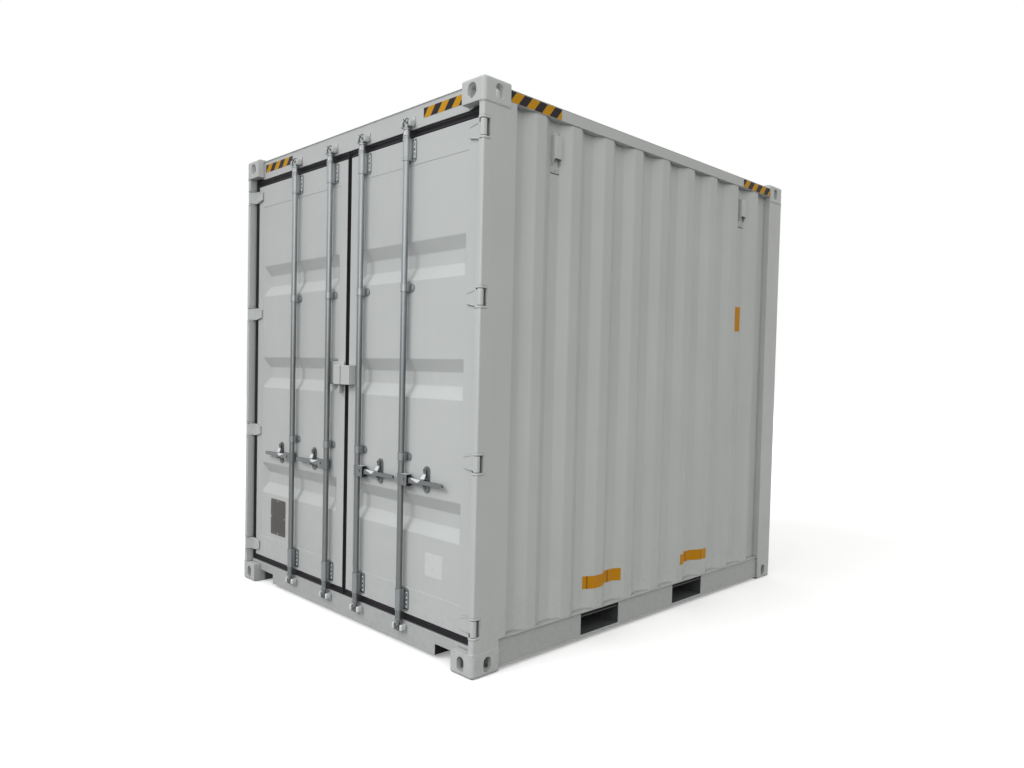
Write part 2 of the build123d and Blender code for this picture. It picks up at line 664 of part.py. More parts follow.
def door_frame():
    """The right-hand door's frame: hollow stiles and rails round the panel."""
    x = (DOOR_HALF_GAP, DOOR_EDGE)
    y = (DOOR_FACE, DOOR_BACK)
    z = (DOOR_BASE, DOOR_TOP)
    inner_x = (x[0] + STILE_WIDTH, x[1] - STILE_WIDTH)
    inner_z = (z[0] + DOOR_RAIL_HEIGHT, z[1] - DOOR_RAIL_HEIGHT)
    wall = DOOR_FRAME_WALL
    frame = block(x, y, z) - block(inner_x, y, inner_z)
    hollow_y = (y[0] + wall, y[1] - wall)
    hollow = block((x[0] + wall, x[1] - wall), hollow_y, (z[0] + wall, z[1] - wall))
    hollow -= block((inner_x[0] - wall, inner_x[1] + wall), hollow_y, (inner_z[0] - wall, inner_z[1] + wall))
    drain_half = STILE_WIDTH / 2 - 2 * wall
    for middle in (x[0] + STILE_WIDTH / 2, x[1] - STILE_WIDTH / 2):
        hollow += block((middle - drain_half, middle + drain_half), (y[0] + 2 * wall, y[1] - 2 * wall),
                        (z[0], z[0] + wall))
    return frame - hollow


def door_panel():
    """The right-hand door's sheet, set a little behind the frame's face, with three pressings."""
    x = (DOOR_HALF_GAP + STILE_WIDTH, DOOR_EDGE - STILE_WIDTH)
    z = (DOOR_BASE + DOOR_RAIL_HEIGHT, DOOR_TOP - DOOR_RAIL_HEIGHT)
    panel = block(x, (PANEL_FACE, PANEL_FACE + SHEET), z)
    mouth_x = (x[0] + PRESSING_MARGIN, x[1] - PRESSING_MARGIN)
    for middle in PRESSING_HEIGHTS:
        mouth_z = (middle - PRESSING_HEIGHT / 2, middle + PRESSING_HEIGHT / 2)
        shell_x = (mouth_x[0] - SHEET, mouth_x[1] + SHEET)
        shell_z = (mouth_z[0] - SHEET, mouth_z[1] + SHEET)
        panel += pressed_block(shell_x, shell_z, PANEL_FACE, PRESSING_DEPTH + SHEET, PRESSING_END_SLOPE,
                               PRESSING_SLOPE)
        panel -= pressed_block(mouth_x, mouth_z, PANEL_FACE, PRESSING_DEPTH, PRESSING_END_SLOPE,
                               PRESSING_SLOPE)
    return panel


def door_gasket():
    """The rubber seal round the right-hand door."""
    y = (DOOR_FACE + GASKET_FRONT, DOOR_FACE + GASKET_FRONT + GASKET_THICKNESS)
    outer = block((GASKET_HALF_GAP, POST_IN - GASKET_CLEARANCE), y,
                  (SILL_TOP + GASKET_CLEARANCE, HEADER_BASE - GASKET_CLEARANCE))
    return outer - block((DOOR_HALF_GAP, DOOR_EDGE), y, (DOOR_BASE, DOOR_TOP))


def bar_guide(x, base, height, seat, collars):
    """A sleeve round the bar on a plate that reaches to the right, standing on the door at seat."""
    bore = BAR_RADIUS + BAR_FIT
    half = GUIDE_SADDLE / 2
    ring = Pos(x, BAR_Y, base + height / 2) * Cylinder(bore + GUIDE_SLEEVE_WALL, height)
    ring += block((x - half, x + half), (BAR_Y, seat), (base, base + height))
    ring += block((x - half, x + GUIDE_REACH), (DOOR_FACE - GUIDE_PLATE, seat), (base, base + height))
    if collars:
        for z in (base, base + height - BEARING_COLLAR):
            ring += Pos(x, BAR_Y, z + BEARING_COLLAR / 2) * Cylinder(BEARING_COLLAR_RADIUS, BEARING_COLLAR)
    return ring - Pos(x, BAR_Y, base + height / 2) * Cylinder(bore, height)


def bar_guides(side):
    """All the guides and end bearings of one door; side is +1 for the right door, -1 for the left."""
    shapes = []
    bearings = (DOOR_BASE + BEARING_ABOVE_BASE, DOOR_TOP - BEARING_BELOW_TOP - BEARING_HEIGHT)
    for x in BAR_POSITIONS:
        shapes += [bar_guide(side * x, base, BEARING_HEIGHT, DOOR_FACE, True) for base in bearings]
        for middle in GUIDE_HEIGHTS:
            shapes.append(bar_guide(side * x, middle - GUIDE_HEIGHT / 2, GUIDE_HEIGHT, PANEL_FACE, False))
    return shapes


def cam(x, base):
    """A cam with two short horns that point out of the keeper when the bar is shut."""
    shape = Cylinder(CAM_HUB_RADIUS, CAM_HEIGHT)
    horn = Pos(0, -CAM_REACH / 2, 0) * Box(CAM_HORN_WIDTH, CAM_REACH, CAM_HORN_HEIGHT)
    for turn in (-CAM_HORN_ANGLE, CAM_HORN_ANGLE):
        shape += Rot(0, 0, turn) * horn
    shape &= Cylinder(CAM_REACH, CAM_HEIGHT)
    shape -= Cylinder(CAM_VENT, CAM_HEIGHT)
    return Pos(x, BAR_Y, base + CAM_HEIGHT / 2) * shape


def locking_bar(x):
    """One bar of the right-hand door, with its cams and the hub that carries its handle."""
    base, top = CAM_BOTTOM_TOP, CAM_TOP_BASE
    pipe = Cylinder(BAR_RADIUS, top - base) - Cylinder(BAR_BORE, top - base)
    bar = Pos(x, BAR_Y, (base + top) / 2) * pipe
    bar += cam(x, top)
    bar += cam(x, base - CAM_HEIGHT)
    z = (HANDLE_HEIGHT - HUB_HEIGHT / 2, HANDLE_HEIGHT + HUB_HEIGHT / 2)
    front, back = FRONT + HUB_FRONT, FRONT + HUB_BACK
    hub = Pos(x, BAR_Y, HANDLE_HEIGHT) * Cylinder(HUB_CLAMP_RADIUS, HUB_HEIGHT)
    hub += block((x, x + HANDLE_PIVOT - HANDLE_EYE_RADIUS - 2 * HANDLE_SIDE_PLAY), (front, back), z)
    hub += block((x, x + HUB_REACH), (front, front + HUB_PLATE), z)
    hub += block((x, x + HUB_REACH), (back - HUB_PLATE, back), z)
    hub += handle_axle(x, front, back, HANDLE_PIVOT_PIN)
    return bar + (hub - Pos(x, BAR_Y, HANDLE_HEIGHT) * Cylinder(BAR_BORE, HUB_HEIGHT))


def handle_axle(x, front, back, radius):
    """A cylinder on the handle's pivot, running front to back."""
    middle = (front + back) / 2
    return Pos(x + HANDLE_PIVOT, middle, HANDLE_HEIGHT) * Rot(90, 0, 0) * Cylinder(radius, back - front)


def door_handle(x):
    """The right-hand door's handle on one bar: an eye in the hub and a tapering arm."""
    front, back = BAR_Y - HANDLE_THICKNESS / 2, BAR_Y + HANDLE_THICKNESS / 2
    start, end = x + HANDLE_PIVOT, x + HANDLE_TIP
    wide, narrow = HANDLE_WIDTH / 2, HANDLE_TIP_WIDTH / 2
    z = HANDLE_HEIGHT
    arm = [(start, z - wide), (end - narrow, z - narrow), (end, z - narrow / 2), (end, z + narrow / 2),
           (end - narrow, z + narrow), (start, z + wide)]
    handle = across_depth(arm, front, back) + handle_axle(x, front, back, HANDLE_EYE_RADIUS)
    return handle - handle_axle(x, front, back, HANDLE_PIVOT_PIN + PIN_FIT)


def retainer(x):
    """A handle retainer on the right-hand door: a round-ended plate, a cradle and the catch's pin."""
    middle = x + RETAINER_POSITION
    plate_front = DOOR_FACE - RETAINER_PLATE
    plate_middle = (plate_front + PANEL_FACE) / 2
    plane = Plane((middle, plate_middle, RETAINER_Z), x_dir=(1, 0, 0), z_dir=(0, -1, 0))
    shape = stadium_hole(RETAINER_WIDTH, RETAINER_HEIGHT, PANEL_FACE - plate_middle, plane)
    half = RETAINER_WIDTH / 2
    underside = HANDLE_HEIGHT - HANDLE_WIDTH / 2 - CRADLE_GAP
    shape += block((middle - half, middle + half), (BAR_Y - HANDLE_THICKNESS / 2, plate_front),
                   (underside - CRADLE_THICKNESS, underside))
    catch_front = FRONT + CATCH_FRONT
    shape += catch_axle(x, catch_front - CATCH_PIN_HEAD, plate_front, CATCH_PIN_RADIUS)
    boss_front = catch_front + CATCH_THICKNESS + CATCH_BOSS_GAP
    return shape + catch_axle(x, boss_front, plate_front, CATCH_EYE_RADIUS)


def catch_axle(x, front, back, radius):
    """A cylinder on the catch's pivot, running front to back."""
    place = Pos(x + RETAINER_POSITION, (front + back) / 2, HANDLE_HEIGHT + CATCH_PIVOT_RISE)
    return place * Rot(90, 0, 0) * Cylinder(radius, back - front)


def catch(x):
    """A gravity catch hanging down and back towards the bar, its foot just over the handle."""
    front = FRONT + CATCH_FRONT
    back = front + CATCH_THICKNESS
    pivot = (x + RETAINER_POSITION, HANDLE_HEIGHT + CATCH_PIVOT_RISE)
    foot_z = HANDLE_HEIGHT + HANDLE_WIDTH / 2 + CATCH_REST_GAP + CATCH_END_RADIUS
    foot = (pivot[0] - CATCH_REACH_ACROSS, foot_z)
    run = Vector(foot[0] - pivot[0], foot[1] - pivot[1]).normalized()
    side = Vector(-run.Y, run.X) * CATCH_END_RADIUS
    arm = [(pivot[0] + side.X, pivot[1] + side.Y), (foot[0] + side.X, foot[1] + side.Y),
           (foot[0] - side.X, foot[1] - side.Y), (pivot[0] - side.X, pivot[1] - side.Y)]
    shape = across_depth(arm, front, back)
    shape += catch_axle(x, front, back, CATCH_EYE_RADIUS)
    round_foot = Rot(90, 0, 0) * Cylinder(CATCH_END_RADIUS, CATCH_THICKNESS)
    shape += Pos(foot[0], (front + back) / 2, foot[1]) * round_foot
    return shape - catch_axle(x, front, back, CATCH_PIN_RADIUS + PIN_FIT)


def lock_box_shell(outer, inner):
    """Half of the lock box, open below and towards the other door."""
    y = (FRONT + LOCK_BOX_FRONT, DOOR_FACE)
    z = (LOCK_BOX_BASE, LOCK_BOX_TOP)
    wall = LOCK_BOX_WALL
    step = wall if inner > outer else -wall
    shell = block(sorted((outer, inner)), y, z)
    return shell - block(sorted((outer + step, inner)), (y[0] + wall, y[1]), (z[0], z[1] - wall))


def lock_box_left():
    """The left door's half of the box, its staple plate behind and the staple's tab below."""
    shell = lock_box_shell(-LOCK_BOX_LEFT, -LOCK_BOX_HALF_SEAM)
    plate_front = DOOR_FACE - STAPLE_PLATE
    plate = block((-STAPLE_EDGE - STAPLE_PLATE_LENGTH, -STAPLE_EDGE), (plate_front, DOOR_FACE),
                  (LOCK_BOX_BASE, STAPLE_PLATE_TOP))
    half = STAPLE_TAB_WIDTH / 2
    tab = block((-STAPLE_TAB_OFFSET - half, -STAPLE_TAB_OFFSET + half), (BAR_Y, DOOR_FACE),
                (LOCK_BOX_BASE - STAPLE_TAB_DROP, LOCK_BOX_BASE + STAPLE_PLATE))
    return shell + plate + tab


def data_plate():
    """A plain plate low down on the left door."""
    x = DATA_PLATE_FROM_EDGE - DOOR_EDGE
    z = DOOR_BASE + DATA_PLATE_ABOVE_BASE
    return block((x, x + DATA_PLATE_WIDTH), (PANEL_FACE - DATA_PLATE_THICKNESS, PANEL_FACE),
                 (z, z + DATA_PLATE_HEIGHT))


def mirrored(shape):
    return mirror(shape, Plane.YZ)


def upper(shape):
    """The same piece turned over to the top of the box."""
    return mirror(shape, Plane.XY.offset(HEIGHT / 2))


write("corner_castings_bottom", *four_corners(casting(False)))
write("corner_castings_top", *[upper(piece) for piece in four_corners(casting(True))])
write("door_posts", *both_sides(door_post()))
write("rear_posts", *both_sides(rear_post()))
write("door_header", door_header())
write("door_sill", door_sill())
write("rear_top_rail", tube_along_x(CASTING_IN, (END_SHEET_OUT - TOP_RAIL_TUBE, END_SHEET_OUT),
                                    (TOP_RAIL_BASE, ROOF_Z), TOP_RAIL_WALL))
write("rear_bottom_rail", tube_along_x(CASTING_IN, (REAR_FACE - REAR_RAIL_DEPTH, REAR_FACE),
                                       (BASE_CLEARANCE, FLOOR_TOP), BOTTOM_RAIL_WALL))
write("top_side_rails", *both_sides(top_side_rail()))
write("bottom_side_rails", *both_sides(bottom_side_rail()))
write("fork_pockets", *fork_pockets())
write("cross_members", *cross_members())
wall = side_wall()
write("side_wall_right", wall)
write("side_wall_left", mirrored(wall))
write("end_wall", end_wall())
write("roof_panel", roof_panel())
write("floor", floor_panel())
vents = []
last_recess = plateau_count(POST_BACK_EDGE, CASTING_BACK_EDGE, FIRST_PLATEAU) - 2
for recess in (0, last_recess):
    vents += both_sides(vent(recess))
write("side_vents", *vents)
lugs = []
for height in HINGE_HEIGHTS:
    lugs += both_sides(hinge_lugs(height))
write("hinge_lugs", *lugs)
write("cam_keepers", *keepers())

frame = door_frame()
panel = door_panel()
gasket = door_gasket()
blades = [hinge_blade(height) for height in HINGE_HEIGHTS]
retainers = [retainer(x) for x in BAR_POSITIONS]
write("door_frame_right", frame)
write("door_frame_left", mirrored(frame))
write("door_panel_right", panel)
write("door_panel_left", mirrored(panel))
write("door_gasket_right", gasket)
write("door_gasket_left", mirrored(gasket))
write("hinge_blades_right", *blades)
write("hinge_blades_left", *[mirrored(blade) for blade in blades])
write("bar_guides_right", *bar_guides(1))
write("bar_guides_left", *bar_guides(-1))
write("handle_retainers_right", *retainers)
write("handle_retainers_left", *[mirrored(shape) for shape in retainers])
write("lock_box_right", lock_box_shell(LOCK_BOX_RIGHT, LOCK_BOX_HALF_SEAM))
write("lock_box_left", lock_box_left())
write("data_plate", data_plate())

# Bars are numbered from left to right, seen from outside the doors.
BAR_NUMBERS = ((3, 2), (4, 1))
for x, (right, left) in zip(BAR_POSITIONS, BAR_NUMBERS):
    moving = {"locking_bar": locking_bar(x), "door_handle": door_handle(x), "handle_catch": catch(x)}
    for name, shape in moving.items():
        write(f"{name}_{right}", shape)
        write(f"{name}_{left}", mirrored(shape))
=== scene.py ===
"""A ten foot high shipping container, dressed around its CAD frame. Metres, doors towards -Y."""
import json
from math import cos, pi, radians, sin

import bmesh
import bpy
from mathutils import Matrix, Vector


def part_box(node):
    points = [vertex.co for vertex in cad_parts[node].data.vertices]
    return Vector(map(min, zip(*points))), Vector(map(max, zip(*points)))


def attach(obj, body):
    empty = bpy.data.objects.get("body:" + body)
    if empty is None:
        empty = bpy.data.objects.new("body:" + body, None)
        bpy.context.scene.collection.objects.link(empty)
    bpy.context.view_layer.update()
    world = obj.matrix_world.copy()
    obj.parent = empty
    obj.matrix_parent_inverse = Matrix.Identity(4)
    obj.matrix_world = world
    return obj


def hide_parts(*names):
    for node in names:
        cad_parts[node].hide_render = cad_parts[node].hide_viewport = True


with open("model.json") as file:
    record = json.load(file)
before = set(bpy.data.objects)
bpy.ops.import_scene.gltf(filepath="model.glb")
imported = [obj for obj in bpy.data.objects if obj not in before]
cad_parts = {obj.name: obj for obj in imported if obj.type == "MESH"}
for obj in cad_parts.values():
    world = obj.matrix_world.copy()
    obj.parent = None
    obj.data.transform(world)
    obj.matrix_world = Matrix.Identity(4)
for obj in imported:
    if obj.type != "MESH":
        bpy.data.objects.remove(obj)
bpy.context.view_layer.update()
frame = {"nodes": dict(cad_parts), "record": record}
NODES = frame["nodes"]
RECORD = frame["record"]
SLOTS = {part["node"]: part["material_slot"] for part in RECORD["subparts"]}
BODIES = {name: body for body, names in RECORD["behaviour"]["bodies"].items() for name in names}

# Planes of the frame
LOW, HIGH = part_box("corner_castings_bottom")
HALF_WIDTH, FRONT = HIGH.x, LOW.y
LOW_CASTING_TOP = HIGH.z
TOP_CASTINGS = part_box("corner_castings_top")
TOP_CASTING_BASE = TOP_CASTINGS[0].z
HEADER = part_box("door_header")
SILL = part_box("door_sill")
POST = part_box("door_posts")
TOP_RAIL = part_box("top_side_rails")
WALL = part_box("side_wall_right")
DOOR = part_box("door_frame_right")
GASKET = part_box("door_gasket_right")
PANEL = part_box("door_panel_right")
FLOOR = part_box("floor")

# Sizes that the frame's boxes don't give
CASTING_LENGTH = 0.178
CASTING_WIDTH = 0.162
CASTING_INNER = HALF_WIDTH - CASTING_WIDTH
FOOT_TAPER = 0.040
POST_INNER = 1.180
POST_SET_BACK = 0.012
HEADER_SEAT = 0.046
CORRUGATION_PITCH = 0.276
CORRUGATION_PLATEAU = 0.072
CORRUGATION_SLOPE = 0.066
CORRUGATION_DEPTH = 0.036
FIRST_PLATEAU = 0.149
BAR_POSITIONS = (0.170, 0.590)
SIDES = ((1, "right"), (-1, "left"))
BAR_AXIS = FRONT + 0.021
HANDLE_Z = 0.909

# How far behind the front these faces lie
DOOR_SEAT = DOOR[0].y - FRONT
PANEL_FACE = PANEL[0].y
PANEL_SEAT = PANEL_FACE - FRONT
HEADER_FACE = FRONT + HEADER_SEAT

# Camera, fitted to the photograph
CAMERA_PLACE = (3.9429, -3.9375, 1.5081)
CAMERA_VIEW = (-0.70817, 0.70511, -0.03627)
CAMERA_RIGHT = (0.70479, 0.70904, 0.02323)
IMAGE_WIDTH, IMAGE_HEIGHT = 1024, 768
FOCAL_PIXELS = 768.63
PRINCIPAL_POINT = (517.98, 397.68)
SENSOR_MM = 36.0

# Light
HORIZON_STRENGTH = 0.12
ZENITH_STRENGTH = 0.85
SUN_STRENGTH = 1.15
SUN_ANGLE = radians(28)
SUN_DIRECTION = (0.25, 0.72, -0.62)
FILL_STRENGTH = 0.95
FILL_ANGLE = radians(80)
FILL_DIRECTION = (-0.85, 0.25, -0.45)
FILL_COLOUR = (1.0, 1.0, 0.95)
PANEL_POWER = 34.0
PANEL_SIZE = 2.0
PANEL_PLACE = (2.0, -4.6, 2.2)
PANEL_AIM = (0.6, -1.45, 1.5)
PANEL_COLOUR = (0.93, 0.98, 1.0)
FLOOR_SIZE = 60.0
FLOOR_SEEN_ALBEDO = 1.0
FLOOR_BOUNCE_ALBEDO = 0.12
FLOOR_LIFT = 0.25

# Colours, in linear light
PAINT = (0.545, 0.560, 0.552)
# The underframe coating's own dark colour, taken near black so that it also stands as painted shade in the
# fork pockets and under the floor
UNDERFRAME = (0.060, 0.062, 0.064)
# How much darker the sill and bottom side rails are painted: painted shade under their flanges
LOWER_PAINTED_SHADE = 0.84
# Where the painted shade under the floor, in the underframe coating's colour, fades out: height, across and
# along from the middle
UNDER_SHADE_UP_TO = (0.133, 0.138)
UNDER_SHADE_ACROSS = (1.058, 1.064)
UNDER_SHADE_ALONG = (1.408, 1.420)
ZINC = (0.37, 0.388, 0.397)
ZINC_SHADED_LOW = (0.150, 0.158, 0.163)
# Heights between which the zinc turns from the lower tone to the upper one: a painted reflection, darker
# towards the ground and lighter towards the sky
ZINC_FADE = (1.45, 2.75)
# How much lighter the guides' lower zinc tone is: painted light that lifts the painted shade low down
GUIDE_LOW_LIFT = 1.5
# Pale zinc for painted highlights
PAINTED_HIGHLIGHT_COLOUR = (0.70, 0.72, 0.73)
# Paler paint inside the upper castings: painted light coming in through their apertures
CASTING_INSIDE_LIT = (0.68, 0.69, 0.68)
RUBBER = (0.0055, 0.0045, 0.0065)
PLYWOOD = (0.30, 0.17, 0.085)
PLATE = (0.075, 0.065, 0.060)
YELLOW = (0.62, 0.30, 0.006)
BLACK = (0.016, 0.013, 0.017)
ORANGE = (0.60, 0.26, 0.007)
WHITE = (0.70, 0.71, 0.70)

# Bevels
CASTING_BEVEL = 0.0018
STEEL_BEVEL = 0.0025
HINGE_BEVEL = 0.003
POST_ARRIS = 0.010
SMOOTH_ANGLE = radians(35)


def principled(name, colour, roughness, metallic=0.0):
    """A material with one Principled shader, and its node tree to add to."""
    material = bpy.data.materials.new(name)
    material.use_nodes = True
    shader = material.node_tree.nodes["Principled BSDF"]
    shader.inputs["Base Color"].default_value = (*colour, 1)
    shader.inputs["Roughness"].default_value = roughness
    shader.inputs["Metallic"].default_value = metallic
    return material, material.node_tree, shader


def node(tree, kind, **settings):
    """A shader node with its inputs set by name; a socket among the values is linked."""
    made = tree.nodes.new(kind)
    for key, value in settings.items():
        if hasattr(made, key):
            setattr(made, key, value)
            continue
        socket = made.inputs[int(key[1:])] if key[0] == "i" and key[1:].isdigit() else made.inputs[key]
        if isinstance(value, bpy.types.NodeSocket):
            tree.links.new(value, socket)
        else:
            socket.default_value = value
    return made


def place(tree):
    return node(tree, "ShaderNodeTexCoord").outputs["Object"]


def noise(tree, scale, detail=2.0, stretch=(1, 1, 1)):
    """A noise value over the object, stretched along the axes."""
    mapping = node(tree, "ShaderNodeMapping", Vector=place(tree), Scale=stretch)
    made = node(tree, "ShaderNodeTexNoise", Vector=mapping.outputs[0], Scale=scale, Detail=detail)
    return made.outputs["Fac"]


def span(tree, value, low, high, to_low, to_high):
    """value, mapped from low..high to to_low..to_high and clamped."""
    made = node(tree, "ShaderNodeMapRange", Value=value)
    for key, number in (("From Min", low), ("From Max", high), ("To Min", to_low), ("To Max", to_high)):
        made.inputs[key].default_value = number
    return made.outputs[0]


def clouds(tree, scale, detail, low=0.3, high=0.7, to_low=0.0, to_high=1.0):
    """Noise spread over a range."""
    return span(tree, noise(tree, scale, detail), low, high, to_low, to_high)


def mix(tree, factor, a, b, blend="MIX"):
    """Colour a turned to b by factor; each may be a colour or a socket."""
    made = node(tree, "ShaderNodeMix", data_type="RGBA", blend_type=blend)
    for socket, value in ((made.inputs[0], factor), (made.inputs[6], a), (made.inputs[7], b)):
        if isinstance(value, bpy.types.NodeSocket):
            tree.links.new(value, socket)
        else:
            socket.default_value = (*value, 1) if isinstance(value, tuple) else value
    return made.outputs[2]


def times(tree, a, b):
    return node(tree, "ShaderNodeMath", operation="MULTIPLY", i0=a, i1=b).outputs[0]


def bump(tree, shader, height, strength, distance):
    made = node(tree, "ShaderNodeBump", Height=height, Strength=strength, Distance=distance)
    tree.links.new(made.outputs[0], shader.inputs["Normal"])


def painted_crevice_shade(tree, distance, darkest):
    """A painted shade factor: 1 on open surfaces, falling to darkest in corners closer than distance."""
    made = node(tree, "ShaderNodeAmbientOcclusion", samples=6, Distance=distance)
    return span(tree, made.outputs["AO"], 0.25, 0.85, darkest, 1.0)


def darkened(tree, colour, factor):
    """A colour socket multiplied by a grey factor."""
    return mix(tree, 1.0, colour, factor, "MULTIPLY")


def shade(colour, factor):
    return tuple(channel * factor for channel in colour)


def painted_underside_shade(tree):
    """Painted shade under the floor: one where the paint turns to the underframe coating's dark colour."""
    split = node(tree, "ShaderNodeSeparateXYZ", Vector=place(tree))
    shaded = span(tree, split.outputs["Z"], *UNDER_SHADE_UP_TO, 1.0, 0.0)
    for axis, (start, end) in (("X", UNDER_SHADE_ACROSS), ("Y", UNDER_SHADE_ALONG)):
        away = node(tree, "ShaderNodeMath", operation="ABSOLUTE", i0=split.outputs[axis]).outputs[0]
        shaded = times(tree, shaded, span(tree, away, start, end, 1.0, 0.0))
    return shaded


def paint_material(name, tone):
    """Satin paint on steel, with faint clouding, dust low down, painted shade in corners and under the floor,
    and an orange-peel surface.
    """
    material, tree, shader = principled(name, tone, 0.42)
    colour = mix(tree, clouds(tree, 1.6, 4), shade(tone, 0.965), shade(tone, 1.03))
    streaks = span(tree, noise(tree, 9, 5, (1, 1, 0.08)), 0.52, 0.8, 0.0, 0.2)
    colour = mix(tree, streaks, colour, shade(tone, 0.86))
    height = node(tree, "ShaderNodeSeparateXYZ", Vector=place(tree)).outputs["Z"]
    low = span(tree, height, 0.0, 0.5, 0.35, 0.0)
    speck = clouds(tree, 35, 6, 0.45)
    colour = mix(tree, times(tree, low, speck), colour, shade(tone, 0.72))
    # Painted shade in corners and creases
    colour = darkened(tree, colour, painted_crevice_shade(tree, 0.020, 0.50))
    # Painted shade under the floor, in the underframe coating's colour
    colour = mix(tree, painted_underside_shade(tree), colour, UNDERFRAME)
    tree.links.new(colour, shader.inputs["Base Color"])
    tree.links.new(clouds(tree, 9, 3, to_low=0.36, to_high=0.50), shader.inputs["Roughness"])
    waves = clouds(tree, 3.2, 2)
    peel = times(tree, noise(tree, 420, 2), 0.10)
    height = node(tree, "ShaderNodeMath", operation="ADD", i0=waves, i1=peel).outputs[0]
    bump(tree, shader, height, 0.15, 0.004)
    return material


def clouded_material(name, colour, finish, spread, shades, relief):
    """An even surface with clouds between two shades of its colour and a fine relief."""
    roughness, metallic, specular = finish
    material, tree, shader = principled(name, colour, roughness, metallic)
    shader.inputs["Specular IOR Level"].default_value = specular
    tones = [shade(colour, tone) for tone in shades]
    tree.links.new(mix(tree, clouds(tree, *spread), *tones), shader.inputs["Base Color"])
    scale, detail, strength, depth = relief
    bump(tree, shader, noise(tree, scale, detail), strength, depth)
    return material


def zinc_material(name, low):
    """Hot-dip zinc: pale grey with crystals of slightly different shades, darker towards the ground as a
    painted reflection, with painted shade in its corners.
    """
    material, tree, shader = principled(name, ZINC, 0.42, 0.6)
    height = node(tree, "ShaderNodeSeparateXYZ", Vector=place(tree)).outputs["Z"]
    # Painted reflection: the darker lower tone near the ground turns to the upper one high up
    tone = mix(tree, span(tree, height, *ZINC_FADE, 0.0, 1.0), low, ZINC)
    cells = node(tree, "ShaderNodeTexVoronoi", Vector=place(tree), Scale=160.0)
    grain = span(tree, node(tree, "ShaderNodeSeparateColor", Color=cells.outputs["Color"]).outputs["Red"],
                 0.0, 1.0, 0.97, 1.03)
    # Painted shade in corners and creases
    colour = darkened(tree, darkened(tree, tone, grain), painted_crevice_shade(tree, 0.009, 0.22))
    tree.links.new(colour, shader.inputs["Base Color"])
    tree.links.new(clouds(tree, 14, 3, to_low=0.29, to_high=0.36), shader.inputs["Roughness"])
    bump(tree, shader, noise(tree, 300, 3), 0.015, 0.0004)
    return material


def painted_highlight_material():
    """Pale zinc as a painted highlight on facets and rivet heads, with painted shade in its corners."""
    material, tree, shader = principled("painted_highlight_zinc", PAINTED_HIGHLIGHT_COLOUR, 0.34, 0.25)
    cloud = clouds(tree, 70, 4, to_low=0.88, to_high=1.06)
    # Painted shade in corners and creases
    colour = darkened(tree, darkened(tree, PAINTED_HIGHLIGHT_COLOUR, cloud), painted_crevice_shade(tree, 0.009, 0.25))
    tree.links.new(colour, shader.inputs["Base Color"])
    bump(tree, shader, noise(tree, 300, 3), 0.04, 0.0004)
    return material


def plywood_material():
    """Varnished plywood with its grain along the box."""
    material, tree, shader = principled("floor_plywood", PLYWOOD, 0.45)
    grain = span(tree, noise(tree, 14, 8, (6, 0.35, 6)), 0.3, 0.7, 0.0, 1.0)
    tree.links.new(mix(tree, grain, shade(PLYWOOD, 0.55), shade(PLYWOOD, 1.25)), shader.inputs["Base Color"])
    bump(tree, shader, grain, 0.15, 0.0006)
    return material


# Roughness, metallic, specular; the clouds' scale, detail and ends; their two shades; the relief's scale,
# detail, strength and depth
FILM_LOOK = ((0.45, 0.0, 0.15), (40, 5, 0.35, 0.75), (1.0, 0.93), (90, 2, 0.1, 0.0006))
COATING_LOOK = ((0.7, 0.0, 0.5), (12, 5, 0.3, 0.7), (0.75, 1.2), (200, 3, 0.3, 0.0008))
RUBBER_LOOK = ((0.6, 0.0, 0.22), (8, 4, 0.35, 0.7), (1.0, 2.4), (500, 2, 0.2, 0.0004))
PLATE_LOOK = ((0.5, 0.6, 0.5), (90, 5, 0.3, 0.7), (0.7, 1.6), (600, 3, 0.2, 0.0004))

MATERIALS = {
    "paint": paint_material("container_paint", PAINT),
    "low_paint": paint_material("lower_paint_shaded", shade(PAINT, LOWER_PAINTED_SHADE)),
    "casting_inside": principled("casting_inside", CASTING_INSIDE_LIT, 0.5)[0],
    "underframe": clouded_material("underframe_coating", UNDERFRAME, *COATING_LOOK),
    "galvanised": zinc_material("galvanised_steel", ZINC_SHADED_LOW),
    "guide_zinc_lifted": zinc_material("guide_zinc_lifted", shade(ZINC_SHADED_LOW, GUIDE_LOW_LIFT)),
    "painted_highlight": painted_highlight_material(),
    "rubber": clouded_material("seal_rubber", RUBBER, *RUBBER_LOOK),
    "plywood": plywood_material(),
    "plate": clouded_material("data_plate_metal", PLATE, *PLATE_LOOK),
    "yellow": clouded_material("film_yellow", YELLOW, *FILM_LOOK),
    "black": clouded_material("film_black", BLACK, *FILM_LOOK),
    "orange": clouded_material("film_orange", ORANGE, *FILM_LOOK),
    "white": clouded_material("film_white", WHITE, *FILM_LOOK),
}


def give_cad_nodes_their_materials():
    for name, thing in NODES.items():
        thing.data.materials.clear()
        thing.data.materials.append(MATERIALS[SLOTS[name]])


def add_piece(name, bm, body, slot, *materials):
    """A new piece from a bmesh, riding on a body, smooth but for its sharp edges."""
    mesh = bpy.data.meshes.new(name)
    bmesh.ops.remove_doubles(bm, verts=bm.verts, dist=2e-5)
    bmesh.ops.recalc_face_normals(bm, faces=bm.faces)
    bm.to_mesh(mesh)
    bm.free()
    for key in materials or (slot,):
        mesh.materials.append(MATERIALS[key])
    mesh.shade_smooth()
    mesh.set_sharp_from_angle(angle=SMOOTH_ANGLE)
    piece = bpy.data.objects.new(name, mesh)
    bpy.context.scene.collection.objects.link(piece)
    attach(piece, body)
    return piece


def stand_in(name, bm, *materials):
    """A piece in the place of a CAD node, on its body, in its slot's material unless others are given."""
    piece = add_piece(f"{name}_shape", bm, BODIES[name], SLOTS[name], *materials)
    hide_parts(name)
    return piece


